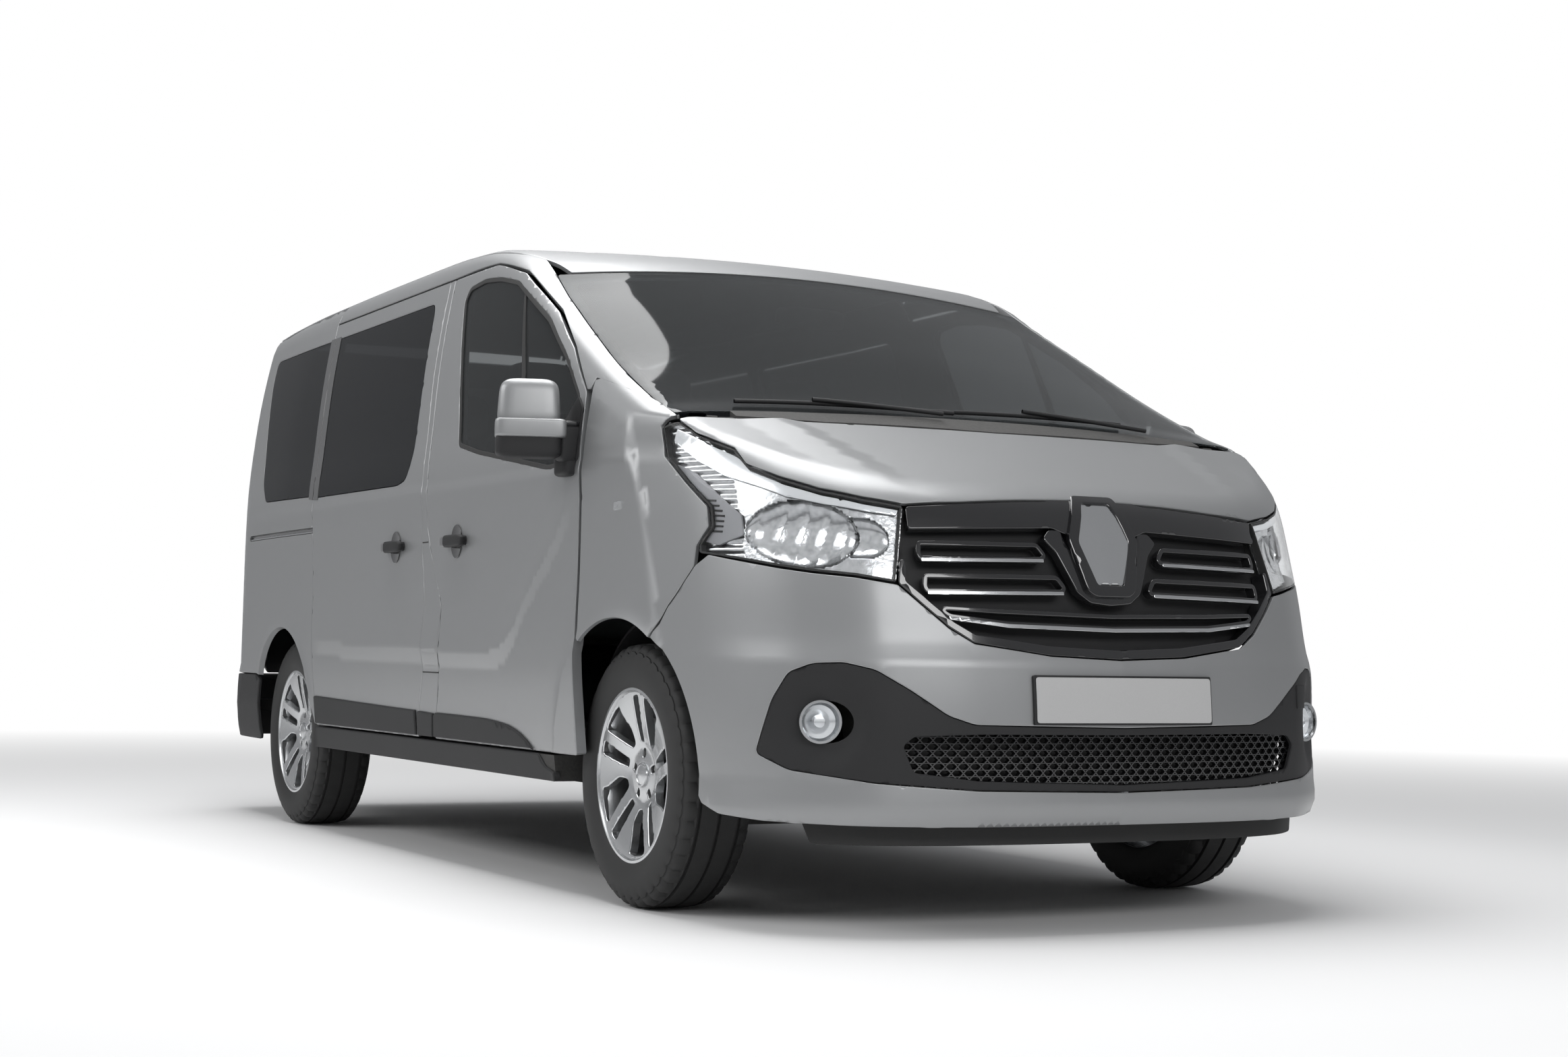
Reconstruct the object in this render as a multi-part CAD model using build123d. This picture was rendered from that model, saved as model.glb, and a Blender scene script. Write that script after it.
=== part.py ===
from build123d import *
import os
import numpy as np

# A short-wheelbase passenger van. Millimetres; the ground is z = 0, the nose points to -Y,
# the van's right-hand side is -X, and the origin is on the ground under its middle.

# Overall sizes
LENGTH = 4999.0
WIDTH = 1956.0
HEIGHT = 1971.0
WHEELBASE = 3098.0
FRONT_OVERHANG = 933.0
FRONT_TRACK = 1615.0
REAR_TRACK = 1628.0

# Wheels and tyres
TYRE_RADIUS = 345.0
TYRE_WIDTH = 215.0
RIM_RADIUS = 228.0
RIM_WIDTH = 190.0
DISC_RADIUS = 150.0
KINGPIN_INSET = 60.0
FRONT_ARCH_RADIUS = 412.0
REAR_ARCH_RADIUS = 392.0
LINER_WALL = 8.0

# Walls, gaps and hinges
PANEL_DEPTH = 110.0
FRAME_DEPTH = 60.0
ROOF_DEPTH = 40.0
LID_DEPTH = 32.0
GLASS = 6.0
SEAT_GAP = 0.3
DOOR_GAP = 7.0
HINGE_RADIUS = 6.0
HINGE_HEIGHT = 40.0

# Heights of the main lines
SILL_BOTTOM = 306.0
SILL_TOP = 440.0
DOOR_BOTTOM = 385.0
FLOOR_TOP = 450.0
BELT = 1165.0
DOOR_TOP = 1858.0
RAIL_INSET = 812.0
BONNET_HINGE_Y = -1784.0
BONNET_HINGE_Z = 1272.0
FRONT_HINGE_Y_INSET = 9.0

FRONT_END = -LENGTH / 2
REAR_END = LENGTH / 2
FRONT_AXLE = FRONT_END + FRONT_OVERHANG
REAR_AXLE = FRONT_AXLE + WHEELBASE
HALF_WIDTH = WIDTH / 2
RIGHT, LEFT = -1, 1
BIG = 3000.0


# ---- The skin of the body ----

def through(*points):
    """A smooth line through hand-set points, with no overshoot between them."""
    at, value = np.array(points, float).T
    step = np.diff(at)
    slope = np.diff(value) / step
    tangent = np.zeros(len(at))
    tangent[0], tangent[-1] = slope[0], slope[-1]
    for i in range(1, len(at) - 1):
        if slope[i - 1] * slope[i] > 0:
            tangent[i] = 2 * slope[i - 1] * slope[i] / (slope[i - 1] + slope[i])

    def line(where):
        where = min(max(where, at[0]), at[-1])
        i = min(int(np.searchsorted(at, where, side="right")) - 1, len(step) - 1)
        s = (where - at[i]) / step[i]
        rise = value[i + 1] - value[i]
        first = tangent[i] * step[i]
        last = tangent[i + 1] * step[i]
        return value[i] + s * (first + s * (3 * rise - 2 * first - last + s * (first + last - 2 * rise)))

    return line


# How far the side stands in from the widest line, by height; then how much it closes to the ends.
side_inset = through((200, 50), (300, 34), (490, 15), (640, 4), (700, 3), (900, 8), (1166, 10),
                     (1384, 36), (1623, 70), (1848, 114), (2100, 180))
side_taper = through((-2499, 190), (-2200, 75), (-1985, 42), (-1780, 22), (-1560, 10), (-1330, 4),
                     (-1000, 0), (1500, 0), (1900, 6), (2200, 16), (2499, 45))
# Height lost from the roof line along the middle, and the crown at 800 mm out.
roof_drop = through((-2499, 960), (-2360, 899), (-2100, 787), (-1900, 703), (-1780, 652), (-1300, 411),
                    (-800, 161), (-650, 91), (-450, 43), (-200, 14), (200, 1), (700, 0), (1500, 5),
                    (2000, 16), (2400, 40), (2499, 52))
roof_crown = through((-2499, 45), (-2285, 40), (-1989, 36), (-1790, 28), (-1655, 44), (-1290, 63), (-900, 60),
                     (-624, 44), (-400, 30), (-100, 22), (2499, 20))
# How far the nose and the tail fall back, by half width and by height.
nose_bow = through((0, 0), (200, 6), (400, 26), (600, 84), (757, 205), (850, 322), (900, 430), (940, 640))
nose_rake = through((200, 40), (262, 22), (330, 4), (480, 0), (640, 12), (700, 34), (836, 66), (948, 100),
                    (1070, 142), (1200, 220))
tail_bow = through((0, 0), (400, 8), (650, 24), (800, 50), (870, 90), (920, 160), (950, 280))
tail_rake = through((200, 34), (300, 5), (400, 0), (530, 3), (600, 44), (1000, 58), (1230, 78),
                    (1500, 124), (1800, 190), (2000, 240))
CORNER_BLEND = 80.0
NOSE_BLEND = 50.0


def blend(first, second, radius):
    """The larger of two, rounded where they meet."""
    near = max(radius - abs(first - second), 0.0)
    return max(first, second) + near * near / (4 * radius)


def outside(x, y, z):
    """Roughly how far a point is outside the skin; negative is inside."""
    side = abs(x) - (HALF_WIDTH - side_inset(z) - side_taper(y))
    top = 0.9 * (z - (HEIGHT - roof_drop(y) - roof_crown(y) * (abs(x) / 800) ** 2))
    nose = FRONT_END + nose_bow(abs(x)) + nose_rake(z) - y
    tail = y - (REAR_END - tail_bow(abs(x)) - tail_rake(z))
    body = blend(side, top, CORNER_BLEND)
    body = blend(body, nose, NOSE_BLEND)
    return blend(body, tail, NOSE_BLEND)


def skin(start, direction, reach=2600.0):
    """The point where a ray from inside the body leaves it."""
    start, direction = np.array(start, float), np.array(direction, float)
    near, far = 0.0, reach
    for _ in range(34):
        middle = (near + far) / 2
        if outside(*(start + middle * direction)) < 0:
            near = middle
        else:
            far = middle
    return start + near * direction


def side_point(side, y, z):
    return skin((0, y, z), (side, 0, 0))


def top_point(x, y):
    return skin((x, y, 500), (0, 0, 1))


def nose_point(x, z):
    return skin((x, -1500, z), (0, -1, 0))


def tail_point(x, z):
    return skin((x, 1500, z), (0, 1, 0))


# ---- Making panels from the skin ----

def ring(outer, inner):
    edges = [Edge.make_spline([Vector(*p) for p in outer]), Edge.make_line(Vector(*outer[-1]), Vector(*inner[-1])),
             Edge.make_spline([Vector(*p) for p in inner[::-1]]), Edge.make_line(Vector(*inner[0]), Vector(*outer[0]))]
    return Wire(edges)


def side_panel(side, levels, first, last, depth, count=7, corner=None):
    """A panel on the side: plan sections between two lines given by height, `depth` thick."""
    rings = []
    for z in levels:
        ys = np.linspace(first(z), last(z), count)
        outer = [side_point(side, y, z) for y in ys]
        inner = [p - np.array((side * depth, 0, 0)) for p in outer]
        rings.append(ring(outer, inner))
    return Solid.make_loft(rings)


def wrapped_panel(levels, centre, ends, depth, count=11):
    """A panel round a corner: plan sections seen from a centre, between two end points."""
    rings = []
    for z in levels:
        angles = [np.arctan2(p[1] - centre[1], p[0] - centre[0]) for p in ends(z)]
        turn = (angles[1] - angles[0] + np.pi) % (2 * np.pi) - np.pi
        outer, inner = [], []
        for share in np.linspace(0, 1, count):
            angle = angles[0] + share * turn
            ray = np.array((np.cos(angle), np.sin(angle), 0))
            point = skin((*centre, z), ray)
            outer.append(point)
            inner.append(point - depth * ray)
        rings.append(ring(outer, inner))
    return Solid.make_loft(rings)


def top_panel(stations, reach, depth, count=9):
    """A panel on top: cross-sections along the van, from -reach(y) to reach(y)."""
    rings = []
    for y in stations:
        outer = [top_point(x, y) for x in np.linspace(-reach(y), reach(y), count)]
        inner = [p - np.array((0, 0, depth)) for p in outer]
        rings.append(ring(outer, inner))
    return Solid.make_loft(rings)


def box(x, y, z):
    """A block between two x, two y and two z values."""
    return Pos((x[0] + x[1]) / 2, (y[0] + y[1]) / 2, (z[0] + z[1]) / 2) * Box(
        abs(x[1] - x[0]), abs(y[1] - y[0]), abs(z[1] - z[0]))


def beside(side, near, far, y, z):
    """A block on one side, between two distances from the middle."""
    return box((side * near, side * far), y, z)


def inset(outline, by):
    """The outline drawn in by a distance, for a pane inside its opening."""
    points = np.array(outline, float)
    area = sum(points[i - 1][0] * points[i][1] - points[i][0] * points[i - 1][1] for i in range(len(points)))
    turn = np.sign(area)
    result = []
    for i, point in enumerate(points):
        before = point - points[i - 1]
        after = points[(i + 1) % len(points)] - point
        before, after = before / np.linalg.norm(before), after / np.linalg.norm(after)
        normals = [turn * np.array((-v[1], v[0])) for v in (before, after)]
        corner = normals[0] + normals[1]
        result.append(tuple(point + by * corner / (1 + normals[0] @ normals[1])))
    return result


def prism_x(side, outline, near=500.0, far=1200.0):
    """An outline in y and z, pushed through one side of the body."""
    wire = Wire.make_polygon([Vector(side * near, y, z) for y, z in outline])
    return extrude(make_face(wire), amount=far - near, dir=(side, 0, 0))


def prism_y(outline, near, far):
    wire = Wire.make_polygon([Vector(x, near, z) for x, z in outline])
    return extrude(make_face(wire), amount=abs(far - near), dir=(0, np.sign(far - near), 0))


def prism_z(outline, low, high):
    wire = Wire.make_polygon([Vector(x, y, low) for x, y in outline])
    return extrude(make_face(wire), amount=high - low, dir=(0, 0, 1))


def tube_x(x, y, z, radius, length):
    return Pos(x, y, z) * Rot(0, 90, 0) * Cylinder(radius, length)


def tube_y(x, y, z, radius, length):
    return Pos(x, y, z) * Rot(90, 0, 0) * Cylinder(radius, length)


def upright(x, y, low, high, radius):
    return Pos(x, y, (low + high) / 2) * Cylinder(radius, high - low)


def mirrored(shape):
    return shape.mirror(Plane.YZ)


def together(*shapes):
    """Fused where they touch, kept side by side where they don't."""
    first = shapes[0]
    for other in shapes[1:]:
        first = first + other
    return first


parts = {}


# ---- Wheel arches ----

LINER_FACE = 842.0
FRONT_ARCH_Y = FRONT_AXLE - 8
REAR_ARCH_Y = REAR_AXLE - 10
ARCH_Z = TYRE_RADIUS


def arch_cut(side, y, radius, clearance=SEAT_GAP):
    """What an arch takes out of the panels: the opening, and the liner behind it."""
    opening = tube_x(side * 800, y, ARCH_Z, radius, 800)
    liner = tube_x(side * LINER_FACE / 2, y, ARCH_Z, radius + LINER_WALL + clearance, LINER_FACE + 2 * clearance)
    return opening + liner


def liner(side, y, radius, inner_face, closed):
    outer = tube_x(side * (LINER_FACE + inner_face) / 2, y, ARCH_Z, radius + LINER_WALL, LINER_FACE - inner_face)
    start = inner_face + (LINER_WALL if closed else -10)
    hollow = tube_x(side * (start + LINER_FACE + 10) / 2, y, ARCH_Z, radius, LINER_FACE + 10 - start)
    return outer - hollow - box((-BIG, BIG), (-BIG, BIG), (-200, TYRE_RADIUS - 5))


FRONT_LINER_INNER = 500.0
REAR_LINER_INNER = 640.0
STRUT_X = 640.0
SPRING_RADIUS = 62.0
STUB_RADIUS = 25.0
liners = []
for side in (RIGHT, LEFT):
    front_liner = liner(side, FRONT_ARCH_Y, FRONT_ARCH_RADIUS, FRONT_LINER_INNER, False)
    liners.append(front_liner - upright(side * STRUT_X, FRONT_AXLE, 600, 900, SPRING_RADIUS + 10))
    rear_liner = liner(side, REAR_ARCH_Y, REAR_ARCH_RADIUS, REAR_LINER_INNER, True)
    axle_slot = beside(side, REAR_LINER_INNER - 5, REAR_LINER_INNER + LINER_WALL + 5,
                       (REAR_AXLE - 70, REAR_AXLE + 70), (0, TYRE_RADIUS + 80))
    liners.append(rear_liner - axle_slot)
parts["wheel_arch_liners"] = Compound(children=[s for piece in liners for s in piece.solids()])


# ---- Lines of the side, as y by height ----

DOOR_FRONT = -1322.0
HINGE_Y = DOOR_FRONT - FRONT_HINGE_Y_INSET
HINGE_X = HALF_WIDTH - 28.0
WING_REAR = HINGE_Y - 10.0

screen_edge = through((1270, -1790), (1322, -1655), (1400, -1439), (1484, -1291), (1620, -1040),
                      (1841, -624), (1900, -520))
screen_reach = through((-1800, 906), (-1655, 900), (-1439, 892), (-1291, 880), (-900, 842), (-624, 800))

FRONT_DOOR_REAR = [(-14, DOOR_TOP), (-39, 1519), (-70, 1282), (-103, 1047), (-181, 886), (-257, 801),
                   (-267, 704), (-243, 590), (-190, 440)]
FRONT_DOOR = [(-172, DOOR_BOTTOM), (DOOR_FRONT, DOOR_BOTTOM), (DOOR_FRONT, 1180), (-1300, 1375), (-1150, 1512),
              (-955, 1640), (-640, 1797), (-450, 1844), (-380, DOOR_TOP)] + FRONT_DOOR_REAR
SLIDER_REAR = [(1110, DOOR_BOTTOM), (1118, 700), (1175, 1160), (1240, 1640), (1268, DOOR_TOP)]
SLIDING_DOOR = SLIDER_REAR + [(33, DOOR_TOP), (14, 1524), (-25, 1285), (-50, 975), (-98, 802), (-88, 590),
                              (-32, 469), (-15, DOOR_BOTTOM)]
DOOR_LEVELS = (DOOR_BOTTOM - 2, 480, 640, 700, 860, 1010, 1180, 1290, 1400, 1530, 1670, 1780, DOOR_TOP + 2)


def frame_front(z):
    """How far forward a side panel can reach at a height."""
    return max(DOOR_FRONT - 4, screen_edge(z) + 20)


# ---- Front doors ----

DOOR_WINDOW = [(-1288, 1172), (-1093, 1176), (-800, 1205), (-510, 1259), (-345, 1300), (-250, 1480),
               (-160, 1740), (-170, 1786), (-309, 1808), (-454, 1794), (-618, 1762), (-938, 1612),
               (-1127, 1480), (-1262, 1352)]
DOOR_LAYER = 48.0
WINDOW_SHIFT = 14.0
HINGE_LEVELS = (810.0, 1070.0)
GLASS_RECESS = 10.0


def glass_in(side, outline, front, rear):
    """A pane that fills an outline, set back from the skin."""
    levels = np.linspace(min(z for _, z in outline) - 5, max(z for _, z in outline) + 5, 6)
    pane = side_panel(side, levels, lambda z: front, lambda z: rear, GLASS, 5)
    pane = Pos(-side * GLASS_RECESS, 0, 0) * pane
    return pane & prism_x(side, inset(outline, SEAT_GAP))


def front_door(side):
    skin_layer = side_panel(side, DOOR_LEVELS, frame_front, lambda z: 0, DOOR_LAYER, 9)
    skin_layer = skin_layer & prism_x(side, FRONT_DOOR)
    inner = side_panel(side, (SILL_TOP + 20, 640, 900, 1130), lambda z: DOOR_FRONT + 45,
                       lambda z: -330, PANEL_DEPTH)
    door = skin_layer + inner - prism_x(side, DOOR_WINDOW)
    door = door - arch_cut(side, FRONT_ARCH_Y, FRONT_ARCH_RADIUS, 6)
    door = door - beside(side, 0, RAIL_INSET + DOOR_GAP + 2, (-BIG, BIG), (DOOR_TOP - 75, BIG))
    for z in HINGE_LEVELS:
        barrel = upright(side * HINGE_X, HINGE_Y, z + SEAT_GAP, z + HINGE_HEIGHT, HINGE_RADIUS)
        leaf = beside(side, HINGE_X - 4, HINGE_X + 2, (HINGE_Y, DOOR_FRONT + 6), (z + SEAT_GAP, z + HINGE_HEIGHT))
        door = door + barrel + leaf
    return door


for side, name in ((RIGHT, "right"), (LEFT, "left")):
    parts["front_door_" + name] = front_door(side)
    parts["door_glass_" + name] = glass_in(side, DOOR_WINDOW, -1300, -150)


# ---- Door mirrors ----

MIRROR_REACH = 1141.0
MIRROR_Y = (-1318.0, -1205.0)
MIRROR_FOOT = 1020.0


def door_mirror(side, door):
    """Housing on a short arm that stands on the door just under the window."""
    rings = []
    for share, low, high, front, rear in ((0.0, 1225, 1290, -1290, -1235), (0.3, 1190, 1385, -1316, -1215),
                                          (0.7, 1182, 1402, -1318, -1212), (1.0, 1215, 1380, -1290, -1225)):
        x = side * (MIRROR_FOOT + share * (MIRROR_REACH - MIRROR_FOOT))
        corners = [(x, front, low + 25), (x, (front + rear) / 2, low), (x, rear, low + 10), (x, rear, high - 10),
                   (x, (front + rear) / 2, high), (x, front, high - 30)]
        spline = Edge.make_spline([Vector(*p) for p in corners], periodic=True)
        rings.append(Wire([spline]))
    housing = Solid.make_loft(rings)
    foot = side_point(side, -1262, 1150)[0] + side * SEAT_GAP
    arm = box((foot, side * (MIRROR_FOOT + 6)), (-1284, -1240), (1118, 1158))
    riser = beside(side, MIRROR_FOOT - 28, MIRROR_FOOT + 6, (-1284, -1240), (1118, 1262))
    return housing + (arm + riser - skin_clear(side)) - door


def skin_clear(side):
    """The space taken by the door under the mirror's foot."""
    space = side_panel(side, (1050, 1110, 1170, 1230, 1320), lambda z: -1310, lambda z: -1200, 200, 5)
    return Pos(side * 0.9, 0, 0) * space


for side, name in ((RIGHT, "right"), (LEFT, "left")):
    parts["mirror_" + name] = door_mirror(side, parts["front_door_" + name])


# ---- Sliding door, quarter panel and the left side ----

SIDE_WINDOW_TOP = 1794.0
SLIDER_WINDOW = [(112, 1282), (230, 1200), (1150, 1210), (1215, SIDE_WINDOW_TOP), (140, SIDE_WINDOW_TOP)]
QUARTER_WINDOW = [(1206, 1212), (1850, 1232), (2040, 1560), (2060, SIDE_WINDOW_TOP), (1272, SIDE_WINDOW_TOP)]
LEFT_WINDOW = [(112, 1282), (230, 1200), (1090, 1210), (1150, SIDE_WINDOW_TOP), (140, SIDE_WINDOW_TOP)]
SIDE_TOP = 1896.0
CORNER_X, CORNER_Y = 640.0, 2100.0
TAIL_INSET = 806.0
REAR_BUMPER_Y, REAR_BUMPER_TOP = 1925.0, 553.0
TAIL_LAMP_Y, TAIL_LAMP_Z = 2300.0, (770.0, 1330.0)
SIDE_LEVELS = (SILL_BOTTOM, 480, 640, 700, 860, 1010, 1180, 1290, 1400, 1530, 1670, 1780, 1840, 1875, SIDE_TOP)


def side_wall(side, first):
    """The fixed side as one panel, from behind a door round the rear corner to the tailgate."""
    rings = []
    for z in SIDE_LEVELS:
        centre = np.array((side * CORNER_X, CORNER_Y, z))
        last = tail_point(side * TAIL_INSET, z) - centre
        end_turn = np.arctan2(last[1], side * last[0])
        outer = [side_point(side, y, z) for y in np.linspace(first, CORNER_Y - 60, 7)]
        inner = [p - np.array((side * FRAME_DEPTH, 0, 0)) for p in outer]
        for turn in np.linspace(0, end_turn, 9):
            ray = np.array((side * np.cos(turn), np.sin(turn), 0))
            outer.append(skin(centre, ray))
            inner.append(outer[-1] - FRAME_DEPTH * ray)
        rings.append(ring(outer, inner))
    wall = Solid.make_loft(rings)
    wall = wall - beside(side, 0, TAIL_INSET, (CORNER_Y, BIG), (0, BIG))
    wall = wall - beside(side, 0, RAIL_INSET + 2 * SEAT_GAP, (-BIG, BIG), (0, BIG))
    wall = wall - arch_cut(side, REAR_ARCH_Y, REAR_ARCH_RADIUS)
    wall = wall - beside(side, 0, BIG, (REAR_BUMPER_Y, BIG), (0, REAR_BUMPER_TOP + SEAT_GAP))
    lamp = wall & beside(side, 0, BIG, (TAIL_LAMP_Y + SEAT_GAP, BIG),
                         (TAIL_LAMP_Z[0] + SEAT_GAP, TAIL_LAMP_Z[1] - SEAT_GAP))
    return wall - beside(side, 0, BIG, (TAIL_LAMP_Y, BIG), TAIL_LAMP_Z), lamp


right_wall, right_tail_lamp = side_wall(RIGHT, 1100)
left_wall, left_tail_lamp = side_wall(LEFT, -280)
ahead_of_wall = [(-2000, 1950), (-2000, 200), (1110, 200)] + SLIDER_REAR + [(1268, 1950)]
right_wall = right_wall - prism_x(RIGHT, inset(ahead_of_wall, -SEAT_GAP))
ahead_of_wall = [(-14, 1950), (-2000, 1950), (-2000, 200), (-172, 200), (-172, DOOR_BOTTOM)] + FRONT_DOOR_REAR[::-1]
left_wall = left_wall - prism_x(LEFT, inset(ahead_of_wall, -DOOR_GAP))
parts["tail_lamps"] = Compound(children=[s for lamp in (right_tail_lamp, left_tail_lamp) for s in lamp.solids()])
parts["sliding_door"] = (
    (side_panel(RIGHT, DOOR_LEVELS, lambda z: -110, lambda z: 1275, FRAME_DEPTH, 9) & prism_x(RIGHT, SLIDING_DOOR))
    - prism_x(RIGHT, SLIDER_WINDOW))
RAIL_SLOT = [(1185, 1076), (2065, 1076), (2073, 1088), (2065, 1100), (1185, 1100)]
parts["quarter_panel_right"] = right_wall - prism_x(RIGHT, QUARTER_WINDOW) - prism_x(RIGHT, RAIL_SLOT, 930, 1100)
parts["body_side_left"] = left_wall - prism_x(LEFT, LEFT_WINDOW) - prism_x(LEFT, QUARTER_WINDOW)
panes = [glass_in(RIGHT, SLIDER_WINDOW, 100, 1230), glass_in(RIGHT, QUARTER_WINDOW, 1190, 2075),
         glass_in(LEFT, LEFT_WINDOW, 100, 1170), glass_in(LEFT, QUARTER_WINDOW, 1190, 2075)]
parts["side_windows"] = Compound(children=[s for pane in panes for s in pane.solids()])


# ---- Door frames: hinge posts, windscreen pillars, roof rails and the right centre post ----

PILLAR_FOOT = 1284.0
FRAME_LEVELS = (PILLAR_FOOT, 1330, 1400, 1484, 1570, 1660, 1750, 1810, 1860, 1885, 1896)
SCREEN_TOP = -742.0
ROOF_REAR = 2262.0
roof_reach = through((-745, 757), (-620, 786), (-500, RAIL_INSET), (2499, RAIL_INSET))


ROOF_SIDE = [(roof_reach(y), y) for y in (-680, -620, -570, -520, -480)]
ROOF_PLAN = [(-x, y) for x, y in ROOF_SIDE[::-1]] + [(-755, SCREEN_TOP + SEAT_GAP), (755, SCREEN_TOP + SEAT_GAP)]
ROOF_PLAN += ROOF_SIDE + [(x, ROOF_REAR - tail_bow(abs(x))) for x in np.linspace(RAIL_INSET, -RAIL_INSET, 11)]
SCREEN_STATIONS = (-1830, -1600, -1350, -1100, -900, SCREEN_TOP)
screen = top_panel(SCREEN_STATIONS, lambda y: screen_reach(y) - 14, GLASS)
space_rings = []
for y in SCREEN_STATIONS:
    reach = screen_reach(y) - 11
    middle = [top_point(x, y) for x in np.linspace(-reach, reach, 9)]
    space_rings.append(ring([p + np.array((0, 0, 40)) for p in middle],
                            [p - np.array((0, 0, GLASS + 3)) for p in middle]))
screen_space = Solid.make_loft(space_rings)


def hinge_post(side):
    post = beside(side, HINGE_X - 80, HINGE_X - 12, (HINGE_Y - 50, HINGE_Y - 8), (780, PILLAR_FOOT + 20))
    for z in HINGE_LEVELS:
        barrel = upright(side * HINGE_X, HINGE_Y, z - HINGE_HEIGHT, z, HINGE_RADIUS)
        leaf = beside(side, HINGE_X - 25, HINGE_X - 2, (HINGE_Y - 9.5, HINGE_Y - 1), (z - HINGE_HEIGHT, z))
        post = post + barrel + leaf
    return post


door_clear = inset(FRONT_DOOR, -DOOR_GAP)
slider_clear = inset(SLIDING_DOOR, -SEAT_GAP)
FRAME_END = -14 + DOOR_GAP
FRONT_FRAME = [(60, 2000), (-1850, 2000), (-1850, PILLAR_FOOT), (-1316, PILLAR_FOOT)] + door_clear[3:9] + [
    (60, DOOR_TOP + DOOR_GAP)]
REAR_FRAME = [(FRAME_END, 2000), door_clear[9], door_clear[10], (-65, PILLAR_FOOT), (-26, PILLAR_FOOT)]
REAR_FRAME += slider_clear[6:3:-1] + [(1300, DOOR_TOP + SEAT_GAP), (1300, 2000)]


def door_frame(side, levels, ends, outline):
    """A length of the frame over the doors, with the windscreen pillar at its front."""
    frame = side_panel(side, levels, lambda z: screen_edge(z) if ends[0] is None else ends[0], lambda z: ends[1],
                       FRAME_DEPTH, 11)
    frame = frame & prism_x(side, outline, 740)
    frame = frame - screen_space
    return frame - prism_z(inset(ROOF_PLAN, -SEAT_GAP), 1700, 2100)


def largest(shape):
    return max(shape.solids(), key=lambda piece: piece.volume)


left_frame = largest(door_frame(LEFT, FRAME_LEVELS, (None, FRAME_END - SEAT_GAP), FRONT_FRAME)) + hinge_post(LEFT)
right_frame = mirrored(left_frame)
rear_frame = largest(door_frame(RIGHT, FRAME_LEVELS, (-75, 1262), REAR_FRAME))
POST_LEVELS = (DOOR_BOTTOM, 480, 640, 700, 860, 1010, 1180, PILLAR_FOOT - SEAT_GAP)
post = side_panel(RIGHT, POST_LEVELS, lambda z: -290, lambda z: 40, FRAME_DEPTH, 7)
post = post - prism_x(RIGHT, door_clear) - prism_x(RIGHT, slider_clear)
frames = [*right_frame.solids(), *left_frame.solids(), rear_frame, largest(post)]
parts["door_frames"] = Compound(children=frames)


# ---- Roof, windscreen, tailgate ----

TAIL_HINGE_Y, TAIL_HINGE_Z = ROOF_REAR + 6.5, 1905.0
TAIL_HINGE_X = 520.0
ROOF_CORNER = 2150.0
TAILGATE_BOTTOM, TAILGATE_TOP = 575.0, 1888.0


def roof_point(x, y):
    """Roof height carried straight on over the tailgate's corner."""
    point = top_point(x, min(y, ROOF_CORNER))
    return np.array((x, y, point[2] - roof_drop(y) + roof_drop(min(y, ROOF_CORNER))))


roof_rings = []
for y in np.concatenate((np.linspace(SCREEN_TOP - 6, -200, 5), np.linspace(100, ROOF_REAR + 5, 7))):
    outer = [roof_point(x, y) for x in np.linspace(-roof_reach(y) - 8, roof_reach(y) + 8, 9)]
    roof_rings.append(ring(outer, [p - np.array((0, 0, ROOF_DEPTH)) for p in outer]))
roof = Solid.make_loft(roof_rings) & prism_z(ROOF_PLAN, 1700, 2100)
roof = roof - box((-BIG, BIG), (ROOF_CORNER - 20, BIG), (0, TAILGATE_TOP + DOOR_GAP + 1))
RACK_X, RACK_Y, RACK_HOLE = 1240.0, 1300.0, 4.0
RACK_CENTRE_Y = 750.0
for x in (-RACK_X / 2, RACK_X / 2):
    for y in (RACK_CENTRE_Y - RACK_Y / 2, RACK_CENTRE_Y + RACK_Y / 2):
        roof = roof - upright(x, y, 1700, 2100, RACK_HOLE)

SCREEN_FOOT = [(-905, -1775), (-450, -1795), (0, -1800), (450, -1795), (905, -1775)]
parts["windscreen"] = screen & prism_z(SCREEN_FOOT + [(905, -600), (-905, -600)], 1000, 2000)


def tail_section(levels, reach, depth, count=9):
    rings = []
    for z in levels:
        outer = [tail_point(x, z) for x in np.linspace(-reach, reach, count)]
        inner = [p - np.array((0, depth, 0)) for p in outer]
        rings.append(ring(outer, inner))
    return Solid.make_loft(rings)


TAILGATE_REACH = TAIL_INSET - DOOR_GAP
TAIL_WINDOW = [(-700, 1270), (700, 1270), (650, 1790), (-650, 1790)]
tailgate = tail_section((TAILGATE_BOTTOM, 700, 900, 1100, 1300, 1500, 1700, 1830, TAILGATE_TOP), TAILGATE_REACH, 55)
PLATE_RECESS = [(-270, 700), (270, 700), (270, 840), (-270, 840)]
tailgate = tailgate - prism_y(TAIL_WINDOW, 2000, 2600)
for x in (-TAIL_HINGE_X, TAIL_HINGE_X):
    roof = roof + tube_x(x - 15, TAIL_HINGE_Y, TAIL_HINGE_Z, HINGE_RADIUS, 30)
    roof = roof + box((x - 30, x), (ROOF_REAR - 30, TAIL_HINGE_Y), (TAIL_HINGE_Z - 3, TAIL_HINGE_Z + 3))
    leaf = box((x + SEAT_GAP, x + 30), (TAIL_HINGE_Y - 2, TAIL_HINGE_Y + 3), (TAILGATE_TOP - 3, TAIL_HINGE_Z))
    tailgate = tailgate + tube_x(x + 15 + SEAT_GAP / 2, TAIL_HINGE_Y, TAIL_HINGE_Z, HINGE_RADIUS, 30 - SEAT_GAP)
    tailgate = tailgate + leaf
parts["roof"] = roof
parts["tailgate"] = tailgate
pane = tail_section((1262, 1400, 1550, 1700, 1798), 710, GLASS)
parts["tailgate_glass"] = (Pos(0, -GLASS_RECESS, 0) * pane) & prism_y(inset(TAIL_WINDOW, SEAT_GAP), 2000, 2600)


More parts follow.
